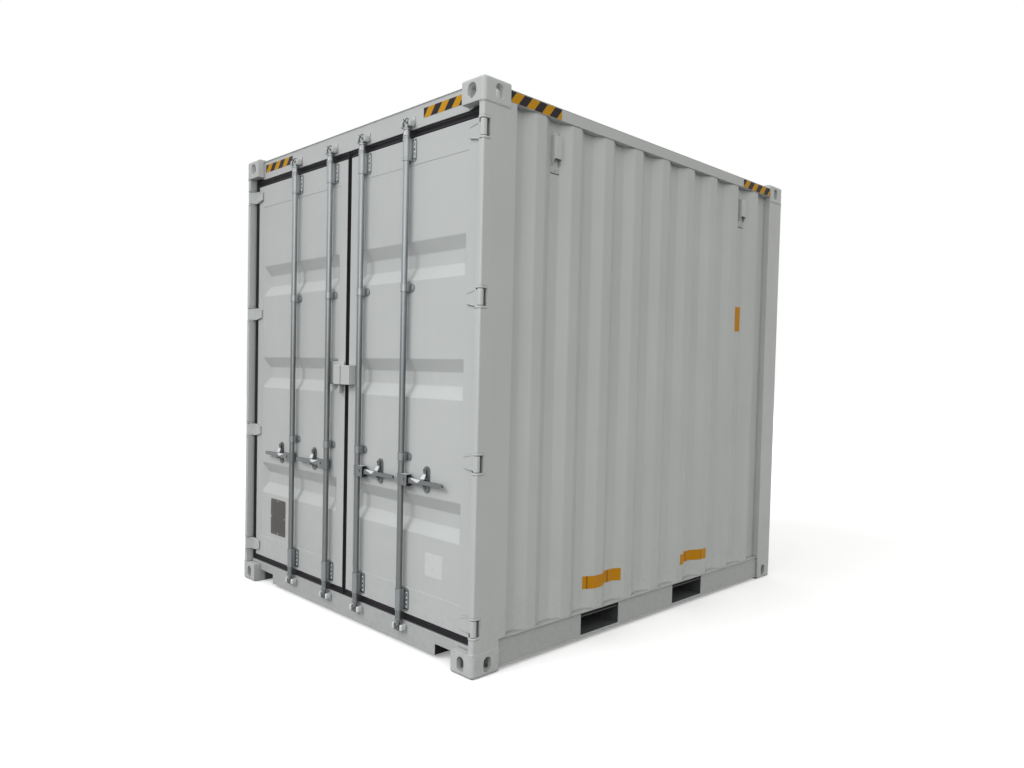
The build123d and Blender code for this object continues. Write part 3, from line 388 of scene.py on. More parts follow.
def weigh_normals(piece):
    """Large faces keep their own normals beside small rounded ones."""
    piece.modifiers.new("normals", "WEIGHTED_NORMAL").keep_sharp = True


def clean_copy(name):
    """A CAD node's mesh as a bmesh, with its flat faces whole."""
    bm = bmesh.new()
    bm.from_mesh(NODES[name].data)
    bmesh.ops.remove_doubles(bm, verts=bm.verts, dist=1e-5)
    bmesh.ops.dissolve_limit(bm, angle_limit=radians(1), verts=bm.verts, edges=bm.edges)
    return bm


DOOR_TURN = Matrix(((1, 0, 0), (0, 0, -1), (0, 1, 0)))
SIDE_TURN = Matrix(((0, 0, 1), (1, 0, 0), (0, 1, 0)))


def on_door(x, z, depth):
    """The place on a plane at this depth behind the door end: X across, Y up, Z outwards."""
    return Matrix.Translation((x, FRONT + depth, z)) @ DOOR_TURN.to_4x4()


def on_side(side, y, z, out):
    """The place on a side of the box: X along it, Y up, Z outwards."""
    flip = Matrix.Diagonal((side, 1, 1, 1))
    return flip @ Matrix.Translation((out, y, z)) @ SIDE_TURN.to_4x4()


def rounded(x, y, radii, steps=5):
    """A box outline with one radius, or its own at each corner from its low corner round."""
    radii = radii if isinstance(radii, tuple) else (radii,) * 4
    corners = ((x[0], y[0], 1, 1, 180), (x[1], y[0], -1, 1, 270),
               (x[1], y[1], -1, -1, 0), (x[0], y[1], 1, -1, 90))
    points = []
    for radius, (cx, cy, sx, sy, start) in zip(radii, corners):
        for k in range(steps + 1):
            angle = radians(start + 90 * k / steps)
            points.append((cx + sx * radius + radius * cos(angle), cy + sy * radius + radius * sin(angle)))
    return points


def circle(x, y, radius, steps=16):
    angles = [2 * pi * k / steps for k in range(steps)]
    return [(x + radius * cos(angle), y + radius * sin(angle)) for angle in angles]


def join_rings(bm, rings, ends=True):
    """Faces between rings of as many vertices, and over both ends."""
    made = []
    for a, b in zip(rings, rings[1:]):
        for k in range(len(a)):
            n = (k + 1) % len(a)
            made.append(bm.faces.new((a[k], a[n], b[n], b[k])))
    if ends:
        made += [bm.faces.new(rings[-1]), bm.faces.new(rings[0][::-1])]
    return made


def slab(bm, outline, height, where, bevel=0.0, material=0, segments=2):
    """A solid with this outline, height thick from its place outwards, its sharp edges rounded."""
    rings = [[bm.verts.new(where @ Vector((x, y, z))) for x, y in outline] for z in (0, height)]
    faces = join_rings(bm, rings)
    for face in faces:
        face.material_index = material
        face.normal_update()
    if bevel:
        edges = {edge for face in faces for edge in face.edges if edge.calc_face_angle() > radians(30)}
        bmesh.ops.bevel(bm, geom=list(edges), offset=bevel, segments=segments, affect="EDGES", profile=0.5,
                        clamp_overlap=True, material=material)


def brick(bm, x, y, z, bevel=0.0, material=0, segments=2):
    """A solid box with rounded edges."""
    x, y, z = sorted(x), sorted(y), sorted(z)
    outline = [(x[0], y[0]), (x[1], y[0]), (x[1], y[1]), (x[0], y[1])]
    slab(bm, outline, z[1] - z[0], Matrix.Translation((0, 0, z[0])), bevel, material, segments)


def block(bm, x, side, z, across, deep, up, bevel=0.0, material=0, segments=2):
    """A box given across from x towards a side, behind the front, and up from z."""
    brick(bm, [x + side * reach for reach in across], [FRONT + depth for depth in deep],
          [z + rise for rise in up], bevel, material, segments)


def lathe(bm, profile, where, steps=20, material=0, closed=False):
    """A profile of (radius, height) points turned about its place's Z."""
    rings = []
    for radius, height in profile:
        rings.append([bm.verts.new(where @ Vector((x, y, height))) for x, y in circle(0, 0, radius, steps)])
    for face in join_rings(bm, rings + rings[:1] if closed else rings, False):
        face.material_index = material


# A rivet head's outline, as shares of its radius and height
DOME = ((1, 0), (1, 0.25), (0.82, 0.7), (0.45, 0.96))
POINT = 1e-5


def dome(bm, where, radius, height, material=0):
    """A rivet's head."""
    profile = [(radius * reach, height * rise) for reach, rise in DOME]
    lathe(bm, profile + [(POINT, height)], where, 12, material)


def disc(bm, where, radius, height, bevel=0.0, material=0, steps=12, segments=2):
    """A short round bar, or a hexagon with six steps."""
    slab(bm, circle(0, 0, radius, steps), height, where, bevel, material, segments)


BEAD_STEP = 0.007
BEAD_RIPPLE = 0.18
BEAD_SIDES = 6


def bead(bm, start, end, radius):
    """A weld bead with ripples along a line."""
    start, end = Vector(start), Vector(end)
    run = end - start
    along = run.normalized()
    across = along.orthogonal().normalized()
    third = along.cross(across)
    count = max(2, int(run.length / BEAD_STEP))
    rings = []
    for k in range(count + 1):
        size = radius * (1 + BEAD_RIPPLE * (k % 2))
        centre = start + run * k / count
        rings.append([bm.verts.new(centre + (across * x + third * y) * size)
                      for x, y in circle(0, 0, 1, BEAD_SIDES)])
    join_rings(bm, rings)


def bevel(bm, edges, offset, segments):
    return bmesh.ops.bevel(bm, geom=edges, offset=offset, segments=segments, affect="EDGES", profile=0.5,
                           offset_type="OFFSET", clamp_overlap=False)


def rounded_node(name, width, segments=2, low=30, high=180, reshape=None, arris=None, paint=()):
    """A CAD node with every edge between low and high degrees rounded; it replaces the node."""
    bm = clean_copy(name)
    if reshape:
        reshape(bm)
        bm.normal_update()
    if arris:
        bevel(bm, [edge for edge in bm.edges if arris(edge)], POST_ARRIS, 5)
        bm.normal_update()
    edges = [edge for edge in bm.edges
             if len(edge.link_faces) == 2 and radians(low) < edge.calc_face_angle() < radians(high)]
    bevel(bm, edges, width, segments)
    weigh_normals(stand_in(name, bm, *paint))


CASTING_WALL = 0.028
TOP_HOLE_FROM_TOP = 0.057
TOP_HOLE_X, TOP_HOLE_Y = 1.130, 1.394
SHIELD_HALF, OVAL_HALF, HOLE_HALF_HEIGHT = 0.03175, 0.0255, 0.0395
SHIELD_SHOULDER, SHIELD_FOOT = 0.0195, 0.026
TOP_CASTING_MIDDLE, CAVITY_HALF = 2.837, 0.031
TOP_HOLE_DROP = 0.006
INSIDE_DEPTH = 0.008
NOTCH_END, NOTCH_TOP = 0.875, 0.080
SET_BACK_REACH = 0.0065
NEAR = 0.0005
CLOSE = 0.0003
HAIR = 0.0001


def lowered_holes(bm):
    """The upper castings' apertures 6 mm lower, the end ones with a straight-sided pointed foot."""
    middle = TOP_CASTINGS[1].z - TOP_HOLE_FROM_TOP
    for vert in bm.verts:
        x, y, z = abs(vert.co.x), abs(vert.co.y), vert.co.z - middle
        at_end = abs(x - TOP_HOLE_X) < SHIELD_HALF + NEAR and y > -FRONT - CASTING_WALL - HAIR
        at_side = abs(y - TOP_HOLE_Y) < OVAL_HALF + NEAR and x > HALF_WIDTH - CASTING_WALL - HAIR
        in_cavity = abs(abs(z + middle - TOP_CASTING_MIDDLE) - CAVITY_HALF) < CLOSE
        if abs(z) > HOLE_HALF_HEIGHT + NEAR or in_cavity or not (at_end or at_side):
            continue
        if at_end and z < -SHIELD_SHOULDER:
            share = abs(x - TOP_HOLE_X) / SHIELD_HALF
            vert.co.z = middle - HOLE_HALF_HEIGHT + SHIELD_FOOT * share
        vert.co.z -= TOP_HOLE_DROP
    paint_light_inside(bm)


def paint_light_inside(bm):
    """Inner faces of the upper castings take the second material: a paler paint, painted light as if lit
    through the apertures.
    """
    low, high = TOP_CASTINGS
    for face in bm.faces:
        x, y, z = face.calc_center_median()
        deep = min(high.x - abs(x), abs(x) - CASTING_INNER, high.y - abs(y),
                   abs(y) - (high.y - CASTING_LENGTH), high.z - z, z - low.z)
        face.material_index = 1 if deep > INSIDE_DEPTH else 0


def on_arris(edge):
    """A door post's upright outer corner."""
    return all(abs(vert.co.x) > POST[1].x - NEAR and abs(vert.co.y) > -POST[0].y - NEAR
               for vert in edge.verts)


def set_back(bm):
    """The door posts' inner faces, and what ends against them, as far out as the photograph shows."""
    inner = POST_INNER - POST_SET_BACK
    for vert in bm.verts:
        if inner - NEAR < abs(vert.co.x) < inner + SET_BACK_REACH:
            vert.co.x += POST_SET_BACK if vert.co.x > 0 else -POST_SET_BACK


def notches_in_painted_shade(bm):
    """The sill with its ends set back, and black on the walls and ceilings of the notches beside its castings
    as painted shade.
    """
    set_back(bm)
    bm.normal_update()
    for face in bm.faces:
        middle = face.calc_center_median()
        wall = abs(face.normal.x) > 0.9 and abs(abs(middle.x) - NOTCH_END) < NEAR
        ceiling = face.normal.z < -0.9 and abs(middle.z - NOTCH_TOP) < NEAR
        # Black on the notch walls and ceilings: painted shade
        face.material_index = 1 if wall or ceiling else 0


def round_the_frame():
    rounded_node("corner_castings_bottom", CASTING_BEVEL, low=40)
    rounded_node("corner_castings_top", CASTING_BEVEL, low=40, reshape=lowered_holes,
                 paint=("paint", "casting_inside"))
    rounded_node("door_posts", STEEL_BEVEL, reshape=set_back, arris=on_arris)
    rounded_node("door_header", STEEL_BEVEL, reshape=set_back)
    # The sill and bottom side rails in a darker copy of the paint as painted shade, the sill's notches black
    # as painted shade
    rounded_node("door_sill", STEEL_BEVEL, reshape=notches_in_painted_shade, paint=("low_paint", "black"))
    rounded_node("bottom_side_rails", STEEL_BEVEL, paint=("low_paint",))
    for name in ("rear_posts", "rear_top_rail", "rear_bottom_rail", "top_side_rails", "door_frame_left",
                 "door_frame_right"):
        rounded_node(name, STEEL_BEVEL)


SHEET_BEND = 0.008
PANEL_BEND = 0.0045
RIB_BEND = 0.007
SHEET_BEND_ANGLES = (12, 70)


def round_the_sheets():
    low, high = SHEET_BEND_ANGLES
    for name in ("side_wall_left", "side_wall_right", "end_wall"):
        rounded_node(name, SHEET_BEND, 4, low, high)
    for side in (1, -1):
        door_panel(side)
    rounded_node("roof_panel", RIB_BEND, 3, low, high)


PRESSING_MIDDLES = (0.730, 1.451, 2.072)
PRESSING_HALF_HEIGHT = 0.103
PRESSING_MARGIN = 0.012
PRESSING_DEPTH = 0.034
PRESSING_SLOPE = 0.067
PRESSING_END_SLOPE = 0.038
SHEET_THICKNESS = 0.002


def door_panel(side):
    """A door's sheet with three soft-edged pressings, one conforming mesh with a real thickness."""
    bm = bmesh.new()
    corners = {}

    def corner(x, depth, z):
        key = (round(x, 5), round(depth, 5), round(z, 5))
        if key not in corners:
            corners[key] = bm.verts.new((side * x, PANEL_FACE + depth, z))
        return corners[key]

    def quad(*points):
        bm.faces.new([corner(*point) for point in points])

    x0, x3 = PANEL[0].x, PANEL[1].x
    x1, x2 = x0 + PRESSING_MARGIN, x3 - PRESSING_MARGIN
    levels = [PANEL[0].z]
    for middle in PRESSING_MIDDLES:
        levels += [middle - PRESSING_HALF_HEIGHT, middle + PRESSING_HALF_HEIGHT]
    levels.append(PANEL[1].z)
    deep = PRESSING_DEPTH
    for k, (low, high) in enumerate(zip(levels, levels[1:])):
        flats = [(x0, x1), (x2, x3)]
        if k % 2 == 0:
            flats.append((x1, x2))
        else:
            a, b = x1 + PRESSING_END_SLOPE, x2 - PRESSING_END_SLOPE
            base, top = low + PRESSING_SLOPE, high - PRESSING_SLOPE
            inner = [(a, deep, base), (b, deep, base), (b, deep, top), (a, deep, top)]
            outer = [(x1, 0, low), (x2, 0, low), (x2, 0, high), (x1, 0, high)]
            quad(*inner)
            for i, j in ((0, 1), (1, 2), (2, 3), (3, 0)):
                quad(outer[i], outer[j], inner[j], inner[i])
        for start, end in flats:
            quad((start, 0, low), (end, 0, low), (end, 0, high), (start, 0, high))
    bmesh.ops.recalc_face_normals(bm, faces=bm.faces)
    bends = [edge for edge in bm.edges if len(edge.link_faces) == 2 and edge.calc_face_angle() > radians(10)]
    bevel(bm, bends, PANEL_BEND, 3)
    if sum(face.normal.y * face.calc_area() for face in bm.faces) > 0:
        bmesh.ops.reverse_faces(bm, faces=bm.faces)
    bmesh.ops.solidify(bm, geom=bm.faces[:], thickness=SHEET_THICKNESS)
    weigh_normals(stand_in("door_panel_right" if side > 0 else "door_panel_left", bm))


def round_the_fittings():
    for side in ("left", "right"):
        rounded_node(f"hinge_blades_{side}", HINGE_BEVEL)
        rounded_node(f"lock_box_{side}", HINGE_BEVEL)
    rounded_node("hinge_lugs", HINGE_BEVEL, reshape=set_back)


SLEEVE_OUT, SLEEVE_IN = 0.0198, 0.0168
RING_OUT = 0.0209
RING_EASE = 0.001
SADDLE = (-0.0185, 0.0225)
SADDLE_DEPTH, SADDLE_MARGIN, SADDLE_EDGE = 0.025, 0.001, 0.002
FLANGE = (-0.023, 0.052)
FLANGE_THICKNESS, FLANGE_EDGE = 0.006, 0.0015
FLANGE_CORNER, FLANGE_LEFT_CORNER = 0.014, 0.003
RIVET_RADIUS, RIVET_HEIGHT = 0.005, 0.003
RIVET_ACROSS = 0.040
SCREW_RADIUS, SCREW_HEIGHT, SCREW_SUNK = 0.0038, 0.0012, 0.0005
SIDE_SCREW_DEPTH, SIDE_SCREW_HEIGHT, SIDE_SCREW_SUNK = 0.006, 0.003, 0.0015
BEARING_LOW, BEARING_HIGH, BEARING_HEIGHT = 0.196, 2.599, 0.118
LOW_RINGS = ((0.001, 0.009), (0.104, 0.1175))
HIGH_RINGS = ((0.0005, 0.008), (0.0115, 0.0185), (0.110, 0.1175))
BEARING_RIVETS = (0.020, 0.046, 0.070, 0.098)
BEARING_SIDE_SCREWS = (0.028, 0.092)
# Screws in a bearing's flange, across from the bar and up from its foot
BEARING_SCREWS = ((0.030, 0.106), (0.0465, 0.108), (0.038, 0.058), (0.030, 0.010), (0.0465, 0.009))
GUIDE_MIDDLES = (1.029, 1.931)
GUIDE_HEIGHT = 0.043
GUIDE_RINGS = ((0.0005, 0.005), (0.038, 0.0425))


def sleeve(bm, x, base, height, rings):
    """A sleeve round a bar, with raised rings from and to the given heights."""
    outer = []
    for low, high in rings:
        outer += [(SLEEVE_OUT, low), (RING_OUT, low + RING_EASE)]
        outer += [(RING_OUT, high - RING_EASE), (SLEEVE_OUT, high)]
    profile = [(SLEEVE_IN, 0), (SLEEVE_OUT, 0)] + outer + [(SLEEVE_OUT, height), (SLEEVE_IN, height)]
    lathe(bm, profile, Matrix.Translation((x, BAR_AXIS, base)), 24, 0, True)


def guide(bm, x, base, height, seat, rings, corner, rivets, side_screws, screws=()):
    """A sleeve on its flange, which reaches to the right, with rivets and screws in it and at its left."""
    sleeve(bm, x, base, height, rings)
    block(bm, x, 1, base, SADDLE, (SADDLE_DEPTH, seat), (SADDLE_MARGIN, height - SADDLE_MARGIN), SADDLE_EDGE)
    corners = (FLANGE_LEFT_CORNER, corner, corner, FLANGE_LEFT_CORNER)
    outline = rounded((x + FLANGE[0], x + FLANGE[1]), (base, base + height), corners)
    slab(bm, outline, FLANGE_THICKNESS, on_door(0, 0, seat), FLANGE_EDGE)
    face = seat - FLANGE_THICKNESS
    # Rivet heads on the bearings take the pale zinc: painted glints
    for rise in rivets:
        dome(bm, on_door(x + RIVET_ACROSS, base + rise, face), RIVET_RADIUS, RIVET_HEIGHT, 2 if screws else 0)
    for across, rise in screws:
        where = on_door(x + across, base + rise, face + SCREW_SUNK)
        disc(bm, where, SCREW_RADIUS, SCREW_HEIGHT, material=1)
    for rise in side_screws:
        where = Matrix.Translation((x - SLEEVE_OUT + SIDE_SCREW_SUNK, BAR_AXIS - SIDE_SCREW_DEPTH,
                                    base + rise))
        dome(bm, where @ SIDE_TURN.to_4x4() @ Matrix.Rotation(pi * 0.9, 4, "Y"), SCREW_RADIUS,
             SIDE_SCREW_HEIGHT, 1)


def guides():
    """Bearings at the bars' ends and guides between, all reaching to the right."""
    for side, word in SIDES:
        bm = bmesh.new()
        for position in BAR_POSITIONS:
            x = side * position
            for base, rings in ((BEARING_LOW, LOW_RINGS), (BEARING_HIGH, HIGH_RINGS)):
                guide(bm, x, base, BEARING_HEIGHT, DOOR_SEAT, rings, FLANGE_CORNER, BEARING_RIVETS,
                      BEARING_SIDE_SCREWS, BEARING_SCREWS)
            half = GUIDE_HEIGHT / 2
            for middle in GUIDE_MIDDLES:
                guide(bm, x, middle - half, GUIDE_HEIGHT, PANEL_SEAT, GUIDE_RINGS, half - SADDLE_MARGIN,
                      (half,), (half,))
        stand_in(f"bar_guides_{word}", bm, "guide_zinc_lifted", "black", "painted_highlight")


# A bar's outline from its lower cam to its upper one, as (radius, height)
BAR_PROFILE = (
    (1e-5, 0.088), (0.0135, 0.088), (0.015, 0.0895), (0.015, 0.1165), (0.0135, 0.118), (0.0115, 0.120),
    (0.0115, 0.137), (0.0150, 0.139), (0.0195, 0.141), (0.0200, 0.144), (0.0200, 0.149), (0.0190, 0.152),
    (0.0165, 0.154), (0.0172, 0.158), (0.0172, 0.190), (0.0165, 0.193), (0.0165, 2.7172), (0.0206, 2.7180),
    (0.0209, 2.7200), (0.0209, 2.7230), (0.0206, 2.7245), (0.0175, 2.7255), (0.0192, 2.7275), (0.0190, 2.734),
    (0.0172, 2.744), (0.0165, 2.752), (0.0165, 2.7610), (0.0205, 2.7620), (0.0210, 2.7640), (0.0206, 2.7680),
    (0.0185, 2.7700), (0.0120, 2.7720), (0.0120, 2.7860), (0.0150, 2.7900), (0.0150, 2.8185),
    (0.0135, 2.820), (1e-5, 2.820),
)
CAM_LEVELS = ((0.090, 0.117), (2.791, 2.819))
CROSS_DEPTH, CROSS_LEAN = 0.0150, 0.003
CROSS_REACH, CROSS_RISE = 0.0175, 0.013
CROSS_RADIUS = 0.0032
HORN_ANGLE = radians(52)
HORN_REACH, HORN_RADIUS = 0.0125, 0.0072
HORN_MARGIN, HORN_BEVEL = 0.002, 0.003
CLAMP = (
    (0.017, -0.031), (0.0185, -0.031), (0.0205, -0.029), (0.0205, 0.029), (0.0185, 0.031), (0.017, 0.031),
)
PIVOT_ACROSS, PIVOT_RISE, PIVOT_DEPTH = 0.044, 0.003, 0.004
# Radius, height and bevel of the pivot's head
PIVOT_HEAD = (0.0085, 0.0035, 0.0007)
# The hub's plates, its web and its top edge in pale zinc as a painted highlight, then the black clip round
# the handle's neck.
# Each has its reach from the bar, depth and height, its bevel, material and bevel segments
HUB_BLOCKS = (
    ((0.012, 0.070), (0.004, 0.0125), (-0.031, 0.031), 0.0028, 0, 3),
    ((0.012, 0.070), (0.031, 0.038), (-0.031, 0.031), 0.0025, 0, 2),
    ((0.014, 0.026), (0.007, 0.036), (-0.030, 0.030), 0.0, 0, 2),
    ((0.014, 0.067), (0.006, 0.036), (0.027, 0.0315), 0.001, 2, 2),
    ((0.0702, 0.0732), (0.0060, 0.0105), (-0.029, 0.029), 0.0008, 1, 2),
    ((0.0702, 0.0732), (0.0325, 0.0370), (-0.029, 0.029), 0.0008, 1, 2),
    ((0.0702, 0.0802), (0.0060, 0.0200), (0.0255, 0.0310), 0.0008, 1, 2),
    ((0.0702, 0.0802), (0.0060, 0.0200), (-0.0310, -0.0225), 0.0008, 1, 2),
    ((0.0702, 0.0732), (0.0110, 0.0320), (0.0255, 0.0290), 0.0008, 1, 2),
    ((0.0702, 0.0732), (0.0110, 0.0320), (-0.0290, -0.0195), 0.0008, 1, 2),
)


def bar_place(number):
    """The side of the middle that a bar is on, and its X."""
    side = 1 if number > 2 else -1
    return side, side * BAR_POSITIONS[0 if number in (2, 3) else 1]


def cam(bm, x, low, high):
    """A cam's two horns, with crossed rods in the dark coating before it as painted shade lines."""
    for turn in (-HORN_ANGLE, HORN_ANGLE):
        where = Matrix.Translation((x + sin(turn) * HORN_REACH, BAR_AXIS - cos(turn) * HORN_REACH,
                                    low + HORN_MARGIN))
        disc(bm, where, HORN_RADIUS, high - low - 2 * HORN_MARGIN, HORN_BEVEL, segments=3)
    # Crossed rods in the dark coating: painted shade lines at the cam
    start = Vector((x, BAR_AXIS - CROSS_DEPTH, (low + high) / 2))
    for reach in (-CROSS_REACH, CROSS_REACH):
        for rise in (-CROSS_RISE, CROSS_RISE):
            run = Vector((reach, CROSS_LEAN, rise))
            where = Matrix.Translation(start) @ run.to_track_quat("Z", "Y").to_matrix().to_4x4()
            disc(bm, where, CROSS_RADIUS, run.length, 0.001, 3, 10)


def bar(number):
    """One locking bar with its cams, its hub and the clip at the hub's mouth."""
    side, x = bar_place(number)
    bm = bmesh.new()
    lathe(bm, BAR_PROFILE, Matrix.Translation((x, BAR_AXIS, 0)), 28)
    for low, high in CAM_LEVELS:
        cam(bm, x, low, high)
    lathe(bm, CLAMP, Matrix.Translation((x, BAR_AXIS, HANDLE_Z)), 24, 0, True)
    for shape in HUB_BLOCKS:
        block(bm, x, side, HANDLE_Z, *shape)
    pivot = on_door(x + side * PIVOT_ACROSS, HANDLE_Z + PIVOT_RISE, PIVOT_DEPTH)
    disc(bm, pivot, *PIVOT_HEAD, steps=6)
    stand_in(f"locking_bar_{number}", bm, "galvanised", "black", "painted_highlight", "underframe")


# The handle in sections: across from the bar, centre's height, half height, depth of front and back
HANDLE_SECTIONS = (
    (0.078, 0.000, 0.0165, 0.0125, 0.0300), (0.096, 0.000, 0.0152, 0.0125, 0.0295),
    (0.152, -0.001, 0.0125, 0.0115, 0.0285), (0.176, -0.001, 0.0120, 0.0120, 0.0280),
    (0.225, 0.000, 0.0122, 0.0140, 0.0280),
    (0.300, 0.000, 0.0120, 0.0140, 0.0275), (0.345, 0.000, 0.0112, 0.0145, 0.0270),
    (0.352, 0.000, 0.0080, 0.0155, 0.0260),
)
HANDLE_EASE = 0.003
# The crease, its facet in pale zinc as a painted highlight: where it is along the handle, how deep it cuts
# and how far down
FACET = (0.14, 0.16)
FACET_CUT, FACET_DROP = 0.0105, 0.016
# Radius, height and bevel of the eye, then reach, depth, height and bevel of the neck beside it
EYE_DEPTH = 0.0295
EYE = (0.016, 0.0165, 0.0015)
NECK = ((0.044, 0.080), (0.0135, 0.029), (-0.015, 0.015), 0.002)


def handle(number):
    """A handle: an eye on its pivot, a deep neck with a creased facet, and a flat end."""
    side, x = bar_place(number)
    bm = bmesh.new()
    rings = []
    creased = []
    ease = HANDLE_EASE
    for across, rise, half, front, back in HANDLE_SECTIONS:
        outline = [(front, -half + ease), (front + ease, -half), (back - ease, -half), (back, -half + ease),
                   (back, half - ease), (back - ease, half), (front + ease, half), (front, half - ease)]
        faceted = FACET[0] <= across <= FACET[1]
        if faceted:
            outline[6:] = [(front + FACET_CUT, half), (front, half - FACET_DROP)]
        rings.append([bm.verts.new((x + side * across, FRONT + depth, HANDLE_Z + rise + up))
                      for depth, up in outline])
        creased.append(faceted)
    faces = join_rings(bm, rings)
    # The creased facet takes the pale zinc: a painted highlight
    for k, face in enumerate(faces):
        ring, edge = divmod(k, 8)
        face.material_index = 1 if edge == 6 and (creased[ring] or creased[ring + 1]) else 0
    disc(bm, on_door(x + side * PIVOT_ACROSS, HANDLE_Z, EYE_DEPTH), *EYE, steps=20)
    block(bm, x, side, HANDLE_Z, *NECK)
    stand_in(f"door_handle_{number}", bm, "galvanised", "painted_highlight")


RETAINER_ACROSS = 0.188
RETAINER_HALF_WIDTH = 0.026
RETAINER_Z = (0.852, 0.993)
RETAINER_ROUND = 0.96
# The plate and its raised face: inset, thickness, depth and bevel
RETAINER_PLATES = ((0, 0.005, PANEL_SEAT, 0.0015), (0.007, 0.004, PANEL_SEAT - 0.004, 0.0018))
RETAINER_RIVET_RISE = 0.022
# Radius and height of the rivet's head and its tip, how far before the panel, and material
RETAINER_RIVET = ((0.0085, 0.004, 0.008, 0), (0.004, 0.0015, 0.0115, 1))
# The cradle's foot and lip: across, depth, height over the handle's middle, bevel
CRADLE = (
    ((-0.014, 0.016), (0.0125, PANEL_SEAT - 0.003), (-0.0225, -0.0135), 0.002),
    ((-0.014, 0.016), (0.0105, 0.0175), (-0.0225, -0.0105), 0.0025),
)
CATCH_ACROSS, CATCH_Z, CATCH_DEPTH = 0.186, 0.972, 0.0405
CATCH_SEAT = 0.0465
# The catch's boss and its pin: radius, height, bevel, material and steps
CATCH_PIN = ((0.011, 0.005, 0.001, 0, 16), (0.0048, 0.0115, 0.001, 1, 14))
CATCH_RING = ((0.0056, 0), (0.0105, 0), (0.0115, 0.001), (0.0115, 0.006), (0.0105, 0.007), (0.0056, 0.007))
CATCH_NECK = ((-0.009, -0.005), (-0.008, -0.020), (0.012, -0.020), (0.010, -0.005))
NECK_THICKNESS, NECK_FORWARD, NECK_EDGE = 0.006, 0.0005, 0.0015
# The tongue's corners: away from the bar, depth and height over the pivot
CATCH_TONGUE = ((-0.020, 0.0215, -0.045), (0.016, 0.0215, -0.045), (0.013, 0.0370, -0.017),
                (-0.009, 0.0370, -0.017))
TONGUE_THICKNESS = (0, 0.003, -0.002)


def retainer(bm, x, side):
    """A round-ended plate with a rim, the cradle under the handle, the catch's boss and a rivet."""
    middle = x + side * RETAINER_ACROSS
    low, high = RETAINER_Z
    for inset, thickness, depth, edge in RETAINER_PLATES:
        half = RETAINER_HALF_WIDTH - inset
        outline = rounded((middle - half, middle + half), (low + inset, high - inset),
                          half * RETAINER_ROUND, 8)
        slab(bm, outline, thickness, on_door(0, 0, depth), edge)
    for shape in CRADLE:
        block(bm, middle, 1, HANDLE_Z, *shape)
    for shape in CATCH_PIN:
        disc(bm, on_door(x + side * CATCH_ACROSS, CATCH_Z, CATCH_SEAT), *shape)
    for radius, height, forward, material in RETAINER_RIVET:
        dome(bm, on_door(middle, low + RETAINER_RIVET_RISE, PANEL_SEAT - forward), radius, height, material)


def retainers():
    for side, word in SIDES:
        bm = bmesh.new()
        for position in BAR_POSITIONS:
            retainer(bm, side * position, side)
        stand_in(f"handle_retainers_{word}", bm, "galvanised", "black")


def catch(number):
    """A gravity catch: an eye on its pin, an arm towards the bar and a broad tongue over the handle."""
    side, x = bar_place(number)
    pivot = x + side * CATCH_ACROSS
    bm = bmesh.new()
    lathe(bm, CATCH_RING, on_door(pivot, CATCH_Z, CATCH_DEPTH), 20, 0, True)
    neck = [(side * x, z) for x, z in CATCH_NECK]
    slab(bm, neck, NECK_THICKNESS, on_door(pivot, CATCH_Z, CATCH_DEPTH - NECK_FORWARD), NECK_EDGE)
    outer = [bm.verts.new((pivot + side * x, FRONT + depth, CATCH_Z + z)) for x, depth, z in CATCH_TONGUE]
    inner = [bm.verts.new(corner.co + Vector(TONGUE_THICKNESS)) for corner in outer]
    # The tongue's outer face takes the pale zinc: a painted highlight
    join_rings(bm, (inner, outer))[-2].material_index = 1
    stand_in(f"handle_catch_{number}", bm, "galvanised", "painted_highlight")


VENT_MIDDLES = (-0.9435, 0.9845)
VENT_TOP, VENT_BASE = 2.738, 2.575
VENT_HALF_FLANGE, VENT_HALF_BACK, VENT_HALF_FRONT = 0.033, 0.0285, 0.0265
VENT_DEPTH = 0.026
VENT_RIVETS = ((-0.024, 0.176), (0.024, 0.176), (0.0, -0.017))
VENT_SLANT = 0.039
VENT_FLANGE, VENT_TAB = 0.024, 0.032
VENT_CORNER, VENT_SHADOW_STRIP_CORNER, VENT_EDGE = 0.004, 0.001, 0.0008
VENT_WALL = 0.002
VENT_BEND = 0.003
VENT_SHADOW_STRIP = 0.004
VENT_LEDGE = 0.005
RECESS = WALL[1].x - CORRUGATION_DEPTH


